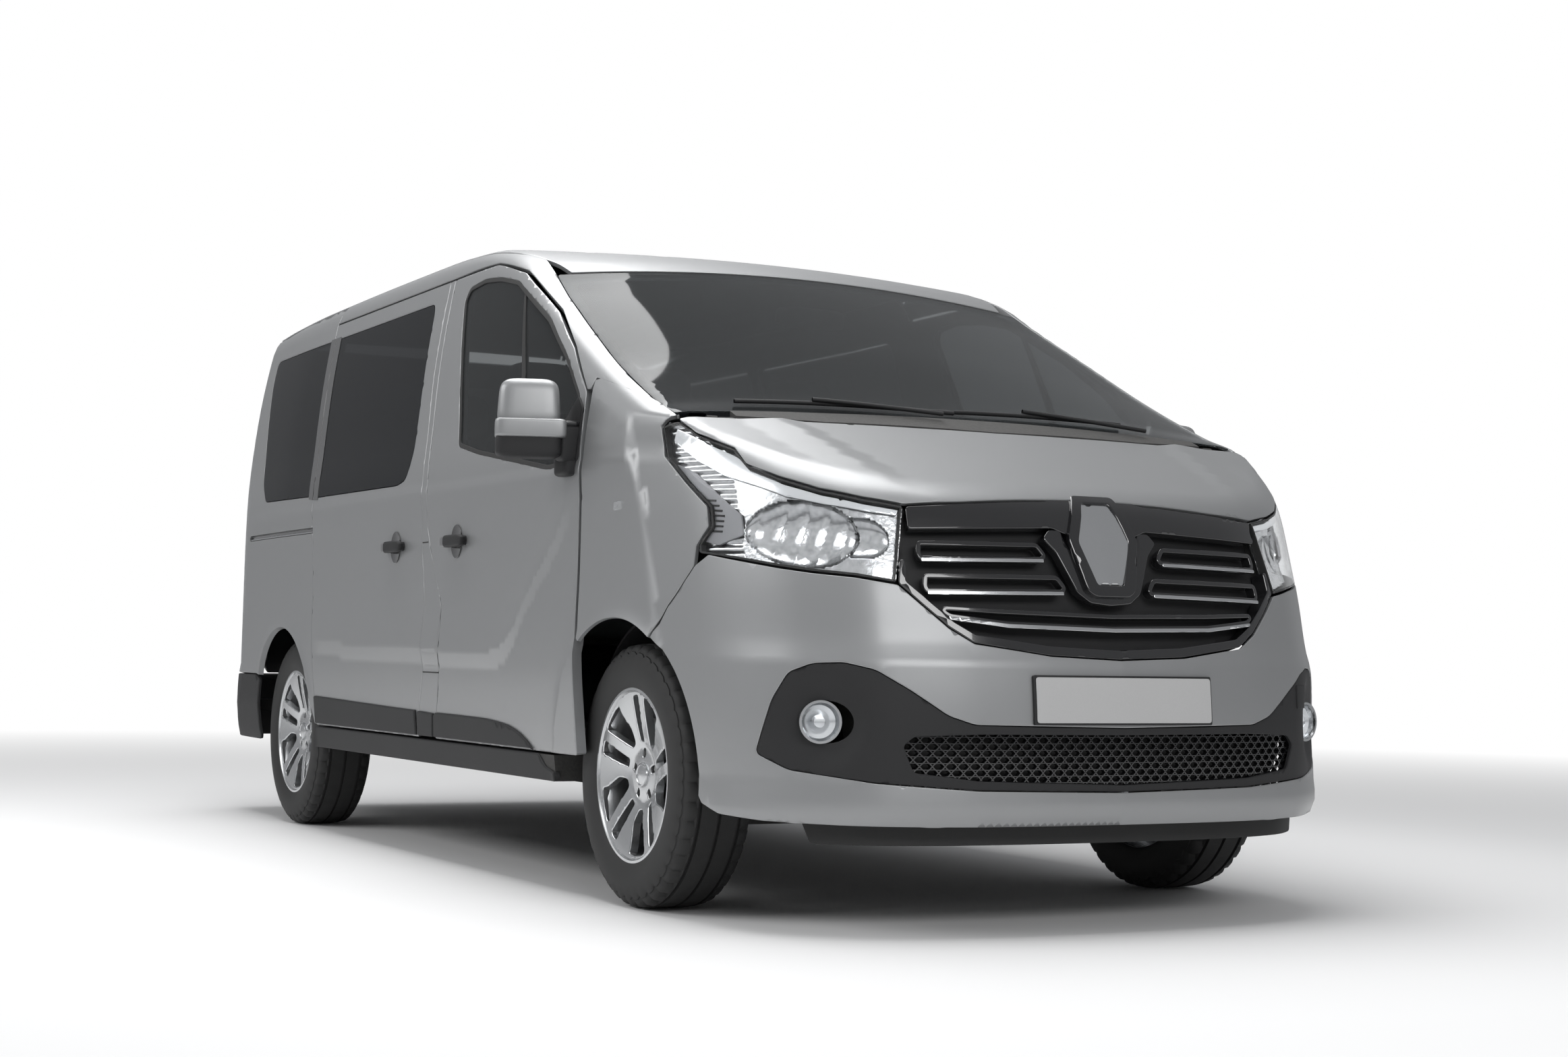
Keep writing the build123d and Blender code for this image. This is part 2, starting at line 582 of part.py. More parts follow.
# ---- Nose: bumper, grille, lamps, wings, bonnet ----

BUMPER_BOTTOM, BUMPER_TOP = 262.0, 938.0
BUMPER_REAR = -1770.0
LAMP_CORNER, LAMP_TOP = (574, 842), (528, 1034)
GRILLE = [(-400, 702), (0, 668), (400, 702), (517, 790), LAMP_CORNER, LAMP_TOP, (528, 1110), (-528, 1110),
          (-LAMP_TOP[0], LAMP_TOP[1]), (-LAMP_CORNER[0], LAMP_CORNER[1]), (-517, 790)]
UNDER_LAMP = [LAMP_CORNER, (740, 868), (860, 898), (1000, 932)]
ABOVE_BUMPER = [(500, 842)] + UNDER_LAMP + [(1000, 1100), (500, 1100)]
WING_CUT = [(-1600, 640), (-1700, 640), (-1779, 706), (-1834, 786), (-1868, 815), (-1941, 884), (-1946, 935),
            (-1946, 1000), (-1600, 1000)]
LOWER_GRILLE = [(-415, 484), (-395, 400), (-330, 352), (330, 352), (395, 400), (415, 484)]

bumper = wrapped_panel((BUMPER_BOTTOM, 330, 480, 600, 680, 760, 850, BUMPER_TOP), (0.0, BUMPER_REAR + 1),
                       lambda z: (side_point(RIGHT, BUMPER_REAR, z), side_point(LEFT, BUMPER_REAR, z)), 60, 21)
bumper = bumper - prism_y(GRILLE, -1700, -2700) - prism_y(LOWER_GRILLE, -2200, -2700)
for side in (RIGHT, LEFT):
    bumper = bumper - prism_y([(side * x, z) for x, z in ABOVE_BUMPER], -1700, -2700)
    bumper = bumper - prism_x(side, WING_CUT, 600)
    bumper = bumper - arch_cut(side, FRONT_ARCH_Y, FRONT_ARCH_RADIUS)
TOW_X, TOW_Y, TOW_Z, TOW_RADIUS, TOW_DEPTH = 640.0, -2195.0, 575.0, 9.0, 50.0
bumper = bumper - tube_y(TOW_X, -2300, TOW_Z, TOW_RADIUS + 11, 300)
parts["front_bumper"] = bumper


def nose_plate(outline, low, high, depth, reach, clearance):
    """A plate on the nose inside an outline."""
    rings = []
    for z in np.linspace(low, high, 6):
        outer = [nose_point(x, z) for x in np.linspace(-reach, reach, 11)]
        inner = [p + np.array((0, depth, 0)) for p in outer]
        rings.append(ring(outer, inner))
    return Solid.make_loft(rings) & prism_y(inset(outline, clearance), -1700, -2700)


BONNET_FRONT = [(-898, -1803), (-872, -1985), (-800, -2130), (-700, -2240), (-525, -2302), (-300, -2352),
                (0, -2372), (300, -2352), (525, -2302), (700, -2240), (800, -2130), (872, -1985), (898, -1803)]
BONNET_REAR = [(500, -1868), (0, -1900), (-500, -1868)]
bonnet_reach = through((-2380, 120), (-2352, 330), (-2302, 550), (-2240, 722), (-2130, 825), (-1985, 890),
                       (-1795, 903))
BONNET_STATIONS = (-2378, -2350, -2302, -2240, -2130, -1985, -1880, -1795)
BONNET_PLAN = BONNET_FRONT + BONNET_REAR
lid_clear = inset(BONNET_PLAN, -6)

upper_grille = nose_plate(GRILLE, 660, 1100, 45, 590, SEAT_GAP) - prism_z(lid_clear, 1000, 1500)
upper_grille = max(upper_grille.solids(), key=lambda piece: piece.volume)
lower_grille = Pos(0, 25, 0) * nose_plate(LOWER_GRILLE, 345, 490, 20, 425, SEAT_GAP)
parts["grille"] = Compound(children=[upper_grille, *lower_grille.solids()])

LAMP_FRONT = UNDER_LAMP + [(1000, 1300), (528, 1300), LAMP_TOP]
LAMP_SIDE = [(-1946, 935), (-1984, 981), (-1971, 1031), (-1880, 1095), (-1778, 1167), (-1748, 1247)]
LAMP_BACK = [(480, -2190), (640, -2130), (770, -2010), (835, -1865), (835, -1500), (480, -1500)]
LAMP_DEPTH = 90.0


def headlamp(side):
    """A block behind the skin, from the grille round to the wing, cut to the lamp's outline."""
    block = wrapped_panel((830, 900, 960, 1030, 1100, 1180, 1262), (side * 560, -1700.0),
                          lambda z: (nose_point(side * 500, z), side_point(side, -1735, z)), LAMP_DEPTH, 11)
    block = block & prism_y(inset([(side * x, z) for x, z in LAMP_FRONT], SEAT_GAP), -1600, -2700)
    outline = [(-2700, 800), (-1946, 800)] + LAMP_SIDE + [(-1788, 1284), (-2700, 1284)]
    block = block & prism_x(side, inset(outline, SEAT_GAP), 400)
    block = block - prism_z([(side * x, y) for x, y in LAMP_BACK], 700, 1400)
    block = block - prism_z(lid_clear, 935, 1500)
    return max(block.solids(), key=lambda piece: piece.volume)


lamps = [headlamp(side) for side in (RIGHT, LEFT)]
parts["headlamps"] = Compound(children=lamps)

WING_OUTLINE = [(-1700, 640), (-1779, 706), (-1834, 786), (-1868, 815), (-1941, 884)] + LAMP_SIDE + [
    (-1788, 1284), (-1700, 1300), (WING_REAR, 1300), (WING_REAR, 640)]
wing_front = through((670, -2000), (1080, -2000), (1180, -1880), (1247, -1790), (1292, -1790))


DOOR_SWEEP = 28.0


def wing(side):
    """The panel over the front wheel; its rear edge is hollowed for the door's swinging edge."""
    slab = side_panel(side, (670, 760, 860, 960, 1060, 1140, 1200, 1240, PILLAR_FOOT - 14), wing_front,
                      lambda z: WING_REAR, LAMP_DEPTH, 9)
    slab = slab & prism_x(side, WING_OUTLINE)
    slab = slab - prism_z(lid_clear, 990, 1500)
    slab = slab - beside(side, 0, HINGE_X - 12 + SEAT_GAP, (HINGE_Y - 50 - SEAT_GAP, BIG), (700, BIG))
    slab = slab - upright(side * HINGE_X, HINGE_Y, 600, 1400, DOOR_SWEEP)
    return slab - arch_cut(side, FRONT_ARCH_Y, FRONT_ARCH_RADIUS)


wings = [wing(side) for side in (RIGHT, LEFT)]
parts["front_wings"] = Compound(children=[max(w.solids(), key=lambda s: s.volume) for w in wings])

bonnet = top_panel(BONNET_STATIONS, bonnet_reach, LID_DEPTH) & prism_z(BONNET_PLAN, 900, 1500)
BONNET_HINGE_X = 808.0
for side in (RIGHT, LEFT):
    middle = side * (BONNET_HINGE_X + 15 + SEAT_GAP / 2)
    bonnet = bonnet + tube_x(middle, BONNET_HINGE_Y, BONNET_HINGE_Z, HINGE_RADIUS, 30 - SEAT_GAP)
    bonnet = bonnet + beside(side, BONNET_HINGE_X + SEAT_GAP, BONNET_HINGE_X + 30, (-1815, BONNET_HINGE_Y),
                             (BONNET_HINGE_Z - 5, BONNET_HINGE_Z + 1))
parts["bonnet"] = bonnet


# ---- Engine bay frame: bulkhead, cowl shelf and scuttle, inner wings, rails and bumper beam ----

WALL_Y = (-1340.0, -1308.0)
SHELF_Z = (1190.0, 1205.0)
RAIL_X = (430.0, FRONT_LINER_INNER - SEAT_GAP)
liner_top = ARCH_Z + FRONT_ARCH_RADIUS + LINER_WALL + SEAT_GAP
frame = box((-RAIL_X[1], RAIL_X[1]), WALL_Y, (FLOOR_TOP - 50, SHELF_Z[1]))
frame = frame + box((-HINGE_X + 80 + SEAT_GAP, HINGE_X - 80 - SEAT_GAP), WALL_Y, (liner_top, SHELF_Z[1]))
frame = frame + box((-815, 815), (-1790, WALL_Y[1]), SHELF_Z)
scuttle_front = [(-740, -1818), (-500, -1861), (0, -1893), (500, -1861), (740, -1818)]
scuttle_rear = [(740, -1782.6), (450, -1795.3), (0, -1800.3), (-450, -1795.3), (-740, -1782.6)]
scuttle = top_panel(np.linspace(-1900, -1775, 5), lambda y: 760, 120) & prism_z(scuttle_front + scuttle_rear, 1000, 1400)
frame = frame + scuttle + box((-700, 700), (-1815, -1785), SHELF_Z)
TOWER_Z = (940.0, 955.0)
BEAM_Y = (-2382.0, -2326.0)
for side in (RIGHT, LEFT):
    frame = frame + beside(side, RAIL_X[1] - 14, RAIL_X[1], (-2050, WALL_Y[0]), (500, TOWER_Z[1]))
    frame = frame + beside(side, *RAIL_X, (BEAM_Y[1], WALL_Y[0]), (FLOOR_TOP - 40, 520))
    frame = frame + beside(side, RAIL_X[1] - 14, STRUT_X + 80, (FRONT_AXLE - 80, FRONT_AXLE + 80), TOWER_Z)
    hinge_middle = side * (BONNET_HINGE_X - 15)
    frame = frame + tube_x(hinge_middle, BONNET_HINGE_Y, BONNET_HINGE_Z, HINGE_RADIUS, 30)
    frame = frame + beside(side, BONNET_HINGE_X - 30, BONNET_HINGE_X, (BONNET_HINGE_Y - 2, BONNET_HINGE_Y + 3),
                           (SHELF_Z[1] - 5, BONNET_HINGE_Z))
frame = frame + box((-RAIL_X[1], RAIL_X[1]), BEAM_Y, (420, 560))
frame = frame + box((RAIL_X[1] - 15, TOW_X + 40), (TOW_Y, TOW_Y + TOW_DEPTH), (490, TOW_Z + 35))
frame = frame - tube_y(TOW_X, TOW_Y + TOW_DEPTH / 2, TOW_Z, TOW_RADIUS, TOW_DEPTH)
frame = frame + box((-480, 480), (-2290, -2270), (540, 900)) + box((-480, 480), (-2290, -2270), (FLOOR_TOP - 40, 545))
parts["engine_bay_frame"] = frame

parts["engine_block"] = box((-380, 380), (-2080, -1480), (420, 930))
parts["engine_block"] = parts["engine_block"] + box((-RAIL_X[0] + SEAT_GAP, RAIL_X[0] - SEAT_GAP), (-1800, -1740), (430, 500))


# ---- Floor with sills ----

floor = box((-868, 868), (-1150, 2270), (FLOOR_TOP - 40, FLOOR_TOP))
floor = floor + box((-700, 700), (2260, 2385), (FLOOR_TOP - 40, FLOOR_TOP))
floor = floor + box((-RAIL_X[1], RAIL_X[1]), (WALL_Y[1] + SEAT_GAP, -1149), (FLOOR_TOP - 40, FLOOR_TOP))
for side in (RIGHT, LEFT):
    ends = (-1150, 1110 - SEAT_GAP) if side == RIGHT else (-1150, -172 - SEAT_GAP + DOOR_GAP)
    step = side_panel(side, (SILL_BOTTOM, DOOR_BOTTOM - 7), lambda z: ends[0], lambda z: ends[1], 90, 5)
    floor = floor + step + beside(side, 840, 893, ends, (DOOR_BOTTOM - 20, SILL_TOP))
    wheel_well = beside(side, REAR_LINER_INNER - SEAT_GAP, 900, (REAR_ARCH_Y - 400 - SEAT_GAP, REAR_ARCH_Y + 400 + SEAT_GAP),
                        (300, 500))
    floor = floor - wheel_well - arch_cut(side, FRONT_ARCH_Y, FRONT_ARCH_RADIUS)
    for rail_ends in ((-1149, 1380), (1640, 2380)):
        floor = floor + beside(side, 400, 480, rail_ends, (330, FLOOR_TOP - 39))
parts["floor_pan"] = floor


# ---- Rear bumper ----

REAR_BUMPER_BOTTOM = 300.0
rear_bumper = wrapped_panel((REAR_BUMPER_BOTTOM, 400, 480, 530, REAR_BUMPER_TOP), (0.0, REAR_BUMPER_Y),
                            lambda z: (side_point(RIGHT, REAR_BUMPER_Y + 1, z), side_point(LEFT, REAR_BUMPER_Y + 1, z)),
                            FRAME_DEPTH, 21)
for side in (RIGHT, LEFT):
    rear_bumper = rear_bumper - arch_cut(side, REAR_ARCH_Y, REAR_ARCH_RADIUS)
rear_beam = box((-480, 480), (2380, 2425), (350, 409))
parts["rear_bumper"] = rear_bumper - rear_beam
parts["floor_pan"] = floor + rear_beam


# ---- Cabin: dashboard, steering wheel, seats ----

DASH_HALF = 835.0
dash_outline = [(-1680, SHELF_Z[1] + SEAT_GAP), (-1680, 1222), (-1250, 1222), (-1020, 1190), (-930, 1130),
                (-900, 1010), (-960, 860), (-1120, 780), (WALL_Y[1] + SEAT_GAP, 780),
                (WALL_Y[1] + SEAT_GAP, SHELF_Z[1] + SEAT_GAP)]
dash_wire = Wire.make_polygon([Vector(-DASH_HALF, y, z) for y, z in dash_outline])
dash = extrude(make_face(dash_wire), amount=2 * DASH_HALF, dir=(1, 0, 0))
dash = dash - box((-BIG, -800), (-BIG, WALL_Y[0]), (0, BIG)) - box((800, BIG), (-BIG, WALL_Y[0]), (0, BIG))
dash = dash + box((-150, 150), (-1250, -960), (FLOOR_TOP + SEAT_GAP, 900))

WHEEL_X, WHEEL_TILT = 400.0, 25.0
STEERING_RADIUS = 185.0
wheel_hub = Location((WHEEL_X, -770, 1045), (WHEEL_TILT - 90, 0, 0))
column_end = -120.0
column = wheel_hub * Pos(0, 0, column_end / 2) * Cylinder(22, -column_end)
rim_ring = wheel_hub * Torus(STEERING_RADIUS, 15)
hub = wheel_hub * Cylinder(62, 36)
spokes = wheel_hub * Box(2 * STEERING_RADIUS, 30, 14) + wheel_hub * Pos(0, -STEERING_RADIUS / 2, 0) * Box(34, STEERING_RADIUS, 14)
parts["steering_wheel"] = rim_ring + hub + spokes + column
socket = wheel_hub * Pos(0, 0, column_end - 60) * Cylinder(40, 120 - 2 * SEAT_GAP)
parts["dashboard"] = dash + socket


def seat(left_x, right_x, rear_y, places, base_half=None):
    """Bench or single seat: base, cushion, reclined back and a headrest for each place."""
    base = box((left_x + 60, right_x - 60), (rear_y - 480, rear_y - 120), (FLOOR_TOP + SEAT_GAP, 680))
    cushion = box((left_x, right_x), (rear_y - 560, rear_y - 60), (679, 830))
    cushion = fillet(cushion.edges().filter_by(Axis.X), 40)
    back_face = make_face(Wire.make_polygon([Vector(left_x, y, z) for y, z in (
        (rear_y - 150, 780), (rear_y - 40, 790), (rear_y + 90, 1400), (rear_y + 20, 1410), (rear_y - 60, 1330))]))
    back = extrude(back_face, amount=right_x - left_x, dir=(1, 0, 0))
    result = base + cushion + back
    width = (right_x - left_x) / places
    for place in range(places):
        middle = left_x + (place + 0.5) * width
        head = box((middle - 125, middle + 125), (rear_y + 5, rear_y + 95), (1440, 1610))
        head = fillet(head.edges().filter_by(Axis.Y), 40)
        posts = box((middle - 60, middle - 48), (rear_y + 45, rear_y + 57), (1380, 1450))
        result = result + head + posts + Pos(108, 0, 0) * posts
    return result


parts["driver_seat"] = seat(150, 650, -60, 1)
parts["passenger_seat"] = seat(-760, 60, -60, 2)
second_row = seat(-690, 690, 1030, 3)
third_row = seat(-610, 610, 1900, 3)
parts["rear_seats"] = Compound(children=[second_row, third_row])


# ---- Wheels, knuckles and suspension ----

KINGPIN_X = FRONT_TRACK / 2 - KINGPIN_INSET
HUB_LENGTH = 70.0


def lying(side, x):
    """A place on an axle line with +Z pointing outwards."""
    return Location((side * x, 0, 0), (0, side * 90, 0))


def tyre(side, track, axle_y):
    half = TYRE_WIDTH / 2
    with BuildPart() as made:
        with BuildSketch(Plane.XZ):
            with BuildLine():
                Polyline((RIM_RADIUS, -half + 14), (RIM_RADIUS + 20, -half + 4))
                ThreePointArc((RIM_RADIUS + 20, -half + 4), (290, -half), (TYRE_RADIUS - 16, -half + 10))
                ThreePointArc((TYRE_RADIUS - 16, -half + 10), (TYRE_RADIUS - 5, -half + 17), (TYRE_RADIUS, -half + 30))
                Line((TYRE_RADIUS, -half + 30), (TYRE_RADIUS, half - 30))
                ThreePointArc((TYRE_RADIUS, half - 30), (TYRE_RADIUS - 5, half - 17), (TYRE_RADIUS - 16, half - 10))
                ThreePointArc((TYRE_RADIUS - 16, half - 10), (290, half), (RIM_RADIUS + 20, half - 4))
                Polyline((RIM_RADIUS + 20, half - 4), (RIM_RADIUS, half - 14), (RIM_RADIUS, -half + 14))
            make_face()
        revolve(axis=Axis.Z)
    return Pos(0, axle_y, TYRE_RADIUS) * lying(side, track / 2) * made.part


def rim(side, track, axle_y):
    """Barrel, five-spoke face, hub and brake disc, turned about the axle."""
    face_at, face_depth = 62.0, 22.0
    outer = RIM_RADIUS - SEAT_GAP
    barrel = Cylinder(outer, RIM_WIDTH) - Cylinder(outer - 14, RIM_WIDTH + 2)
    face = Pos(0, 0, face_at) * Cylinder(outer - 13, face_depth)
    wide = [(95, -26), (outer - 30, -62), (outer - 24, 0), (outer - 30, 62), (95, 26)]
    narrow = [(90, -5), (outer - 34, -13), (outer - 34, 13), (90, 5)]
    for i in range(5):
        for outline, turn in ((wide, 36), (narrow, 0)):
            pocket = extrude(make_face(Wire.make_polygon([Vector(x, y, 0) for x, y in outline])), amount=120)
            face = face - Rot(0, 0, 72 * i + turn + 90) * pocket
    hub = Pos(0, 0, face_at - face_depth / 2 - HUB_LENGTH / 2 + 1) * Cylinder(72, HUB_LENGTH)
    disc = Pos(0, 0, -8) * Cylinder(DISC_RADIUS, 24)
    bore = Pos(0, 0, face_at - face_depth / 2 - HUB_LENGTH / 2 - 1) * Cylinder(STUB_RADIUS + 0.1, HUB_LENGTH)
    made = barrel + face + hub + disc - bore
    return Pos(0, axle_y, TYRE_RADIUS) * lying(side, track / 2) * made


for side, name in ((RIGHT, "right"), (LEFT, "left")):
    for end, track, axle_y in (("front", FRONT_TRACK, FRONT_AXLE), ("rear", REAR_TRACK, REAR_AXLE)):
        parts[f"tyre_{end}_{name}"] = tyre(side, track, axle_y)
        parts[f"rim_{end}_{name}"] = rim(side, track, axle_y)


STUB_END = 48.0
STRUT_FOOT = TYRE_RADIUS + 130.0
BALL_JOINT_Z = (238.0, 260.0)


def knuckle(side):
    """Upright inside the front wheel: stub axle, lower ball-joint boss and the arm under the strut."""
    wheel_x = FRONT_TRACK / 2
    stub = tube_x(side * (700 + wheel_x + STUB_END) / 2, FRONT_AXLE, TYRE_RADIUS, STUB_RADIUS, wheel_x + STUB_END - 700)
    upright_block = beside(side, 718, 770, (FRONT_AXLE - 45, FRONT_AXLE + 45), (255, STRUT_FOOT))
    arm = beside(side, STRUT_X - 30, 760, (FRONT_AXLE - 30, FRONT_AXLE + 30), (STRUT_FOOT - 20, STRUT_FOOT))
    boss = upright(side * KINGPIN_X, FRONT_AXLE, BALL_JOINT_Z[0] + SEAT_GAP, BALL_JOINT_Z[1], 20)
    return stub + upright_block + arm + boss


for side, name in ((RIGHT, "right"), (LEFT, "left")):
    parts["knuckle_" + name] = knuckle(side)


suspension = []
cross = box((-429, 429), (FRONT_AXLE - 110, FRONT_AXLE + 130), (250, 330))
for side in (RIGHT, LEFT):
    cross = cross + beside(side, 380, KINGPIN_X + 18, (FRONT_AXLE - 24, FRONT_AXLE + 24), (BALL_JOINT_Z[0] - 26, BALL_JOINT_Z[0]))
    cross = cross + beside(side, 380, 428, (FRONT_AXLE - 24, FRONT_AXLE + 24), (BALL_JOINT_Z[0] - 26, 330))
    cross = cross + beside(side, RAIL_X[0] - 80, RAIL_X[0] - 2, (FRONT_AXLE - 40, FRONT_AXLE + 40), (320, FLOOR_TOP - 60))
    cross = cross + beside(side, RAIL_X[0] - 30, RAIL_X[1], (FRONT_AXLE - 40, FRONT_AXLE + 40), (FLOOR_TOP - 70, FLOOR_TOP - 40 - SEAT_GAP))
    strut = upright(side * STRUT_X, FRONT_AXLE, STRUT_FOOT + SEAT_GAP, TOWER_Z[0] - SEAT_GAP, 24)
    spring = upright(side * STRUT_X, FRONT_AXLE, 730, 900, SPRING_RADIUS)
    suspension.append(strut + spring)
parts["front_suspension"] = Compound(children=[cross] + suspension)

ARM_X = (560.0, 628.0)
axle = tube_x(0, REAR_AXLE - 40, 330, 38, 2 * ARM_X[0] + 20)
for side in (RIGHT, LEFT):
    axle = axle + beside(side, *ARM_X, (980, REAR_AXLE + 45), (300, 372))
    axle = axle + beside(side, ARM_X[0], ARM_X[1], (980, 1050), (360, FLOOR_TOP - 40 - SEAT_GAP))
    reach = REAR_TRACK / 2 + STUB_END
    axle = axle + tube_x(side * (600 + reach) / 2, REAR_AXLE, TYRE_RADIUS, STUB_RADIUS, reach - 600)
    axle = axle + upright(side * 590, REAR_AXLE, 360, FLOOR_TOP - 40 - SEAT_GAP, 28)
parts["rear_axle"] = axle

tank = box((-398, 398), (-350, 700), (235, FLOOR_TOP - 40 - SEAT_GAP)) - box((60, 400), (-400, 800), (0, 500))
parts["fuel_tank"] = fillet(tank.edges().filter_by(Axis.Z), 40)

PIPE_X, PIPE_Z, PIPE_RADIUS = 230.0, 262.0, 28.0
pipe = tube_y(PIPE_X, (-1400 + 2420) / 2, PIPE_Z, PIPE_RADIUS, 3820)
silencer = Pos(PIPE_X, 820, PIPE_Z + 25) * Box(230, 620, 130)
silencer = fillet(silencer.edges().filter_by(Axis.Y), 50)
riser = upright(PIPE_X, -1380, PIPE_Z, 419.7, PIPE_RADIUS)
hangers = box((PIPE_X - 12, PIPE_X + 12), (-350, -330), (PIPE_Z, FLOOR_TOP - 40 - SEAT_GAP))
hangers = hangers + box((PIPE_X - 12, PIPE_X + 12), (2200, 2220), (PIPE_Z, FLOOR_TOP - 40 - SEAT_GAP))
hangers = hangers + box((PIPE_X - 12, PIPE_X + 12), (700, 720), (PIPE_Z, FLOOR_TOP - 40 - SEAT_GAP))
parts["exhaust"] = pipe + silencer + hangers

if __name__ == "__main__":
    os.makedirs("parts", exist_ok=True)
    for name, shape in parts.items():
        export_step(shape, f"parts/{name}.step")
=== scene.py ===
import math
import bpy
import bmesh
import numpy as np
from mathutils import Matrix, Vector
from mathutils.geometry import delaunay_2d_cdt


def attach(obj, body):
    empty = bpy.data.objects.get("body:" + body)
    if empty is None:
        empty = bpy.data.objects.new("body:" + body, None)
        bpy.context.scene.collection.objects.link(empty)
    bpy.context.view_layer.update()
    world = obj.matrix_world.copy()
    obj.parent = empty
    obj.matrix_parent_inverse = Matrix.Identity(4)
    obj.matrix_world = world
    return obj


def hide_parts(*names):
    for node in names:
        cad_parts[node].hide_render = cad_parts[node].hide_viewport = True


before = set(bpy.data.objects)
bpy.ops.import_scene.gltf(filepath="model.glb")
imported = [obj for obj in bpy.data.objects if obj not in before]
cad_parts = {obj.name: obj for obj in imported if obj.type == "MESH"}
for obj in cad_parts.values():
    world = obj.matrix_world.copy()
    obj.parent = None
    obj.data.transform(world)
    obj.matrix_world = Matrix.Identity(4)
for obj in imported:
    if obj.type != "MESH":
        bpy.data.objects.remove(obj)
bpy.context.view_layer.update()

scene = bpy.context.scene

# ---- Studio: a pale floor, three soft boxes and the camera ----
# The floor is a wide painted sheet that runs out to white; it isn't part of the van.
# The boxes hang over, beside and ahead of the van, so that long soft streaks run along
# the paint.

scene.view_settings.view_transform = "Standard"

def shader(name):
    """A fresh material, its Principled shader, its nodes and its links."""
    material = bpy.data.materials.new(name)
    material.use_nodes = True
    nodes, links = material.node_tree.nodes, material.node_tree.links
    return material, nodes["Principled BSDF"], nodes, links


def dial(node, **values):
    """Sets a node's inputs by their names."""
    for label, value in values.items():
        node.inputs[label.replace("_", " ")].default_value = value


def combined(operation, first, second):
    """One value worked out from two, by an operation such as MULTIPLY."""
    tree = first.id_data
    node = tree.nodes.new("ShaderNodeMath")
    node.operation = operation
    tree.links.new(first, node.inputs[0])
    tree.links.new(second, node.inputs[1])
    return node.outputs[0]


def mixed(share, first, second, target):
    """Two shaders mixed by a share and sent to an output."""
    tree = target.id_data
    mix = tree.nodes.new("ShaderNodeMixShader")
    for socket, source in zip(mix.inputs, (share, first, second)):
        tree.links.new(source, socket)
    tree.links.new(mix.outputs[0], target)


floor_paint, floor_bsdf, nodes, links = shader("studio_floor")
dial(floor_bsdf, Base_Color=(0.80, 0.80, 0.80, 1), Roughness=0.75, Specular_IOR_Level=0.2)
place = nodes.new("ShaderNodeTexCoord")
reach = nodes.new("ShaderNodeVectorMath")
reach.operation = "LENGTH"
links.new(place.outputs["Object"], reach.inputs[0])
fade = nodes.new("ShaderNodeMapRange")
dial(fade, From_Min=3.5, From_Max=11.0)
links.new(reach.outputs["Value"], fade.inputs["Value"])
path = nodes.new("ShaderNodeLightPath")
seen = combined("MULTIPLY", fade.outputs["Result"], path.outputs["Is Camera Ray"])
white = nodes.new("ShaderNodeEmission")
mixed(seen, floor_bsdf.outputs[0], white.outputs[0], nodes["Material Output"].inputs["Surface"])
bpy.ops.mesh.primitive_plane_add(size=60, location=(0, 0, -0.001))
studio_floor = bpy.context.object
studio_floor.name = "studio_floor"
studio_floor.data.materials.append(floor_paint)

scene.world = bpy.data.worlds.new("studio_air")
scene.world.use_nodes = True
nodes = scene.world.node_tree.nodes
air = nodes["Background"]
dial(air, Color=(0.75, 0.76, 0.78, 1), Strength=0.42)
backdrop = nodes.new("ShaderNodeBackground")
dial(backdrop, Color=(1, 1, 1, 1))
path = nodes.new("ShaderNodeLightPath")
clear_ray = combined("MAXIMUM", path.outputs["Is Camera Ray"], path.outputs["Is Transmission Ray"])
mixed(clear_ray, air.outputs[0], backdrop.outputs[0], nodes["World Output"].inputs["Surface"])


def soft_box(name, place, aim, size, power):
    lamp = bpy.data.lights.new(name, "AREA")
    lamp.shape = "RECTANGLE"
    lamp.size, lamp.size_y = size
    lamp.energy = power
    holder = bpy.data.objects.new(name, lamp)
    holder.location = place
    holder.rotation_euler = (Vector(aim) - Vector(place)).to_track_quat("-Z", "Y").to_euler()
    scene.collection.objects.link(holder)


soft_box("overhead_box", (-0.5, 0.0, 5.2), (0, 0, 0.8), (6.5, 3.2), 330)
soft_box("side_box", (-6.5, 0.5, 4.4), (0, 0.3, 1.0), (8.0, 2.4), 200)
soft_box("nose_box", (-1.0, -8.0, 3.6), (0, -2.0, 0.9), (5.0, 1.6), 150)

YAW, PITCH, ROLL = math.radians(27.64), math.radians(2.97), math.radians(0.88)
CAMERA_PLACE, FOCAL_LENGTH = (-3.437, -7.244, 0.675), 54.29
forward = Vector((math.sin(YAW) * math.cos(PITCH), math.cos(YAW) * math.cos(PITCH),
    math.sin(PITCH)))
right = forward.cross(Vector((0, 0, 1))).normalized()
up = right.cross(forward)
tilted_right = right * math.cos(ROLL) + up * math.sin(ROLL)
tilted_up = up * math.cos(ROLL) - right * math.sin(ROLL)
lens = bpy.data.cameras.new("studio_camera")
lens.sensor_width = 36.0
lens.lens = FOCAL_LENGTH
camera = bpy.data.objects.new("studio_camera", lens)
camera.matrix_world = Matrix.Translation(CAMERA_PLACE) @ Matrix((tilted_right, tilted_up,
    -forward)).transposed().to_4x4()
scene.collection.objects.link(camera)
scene.camera = camera

# ---- Shape of the pressed steel body ----
# One smooth skin, in millimetres, that every outer panel, pane and lens is pressed to.
# Side, roof, nose and tail are faired curves, rolled into each other over a soft shoulder.

HALF_WIDTH, HEIGHT, FRONT_END, REAR_END = 978.0, 1971.0, -2499.5, 2499.5
SHOULDER_ROLL, END_ROLL = 80.0, 50.0


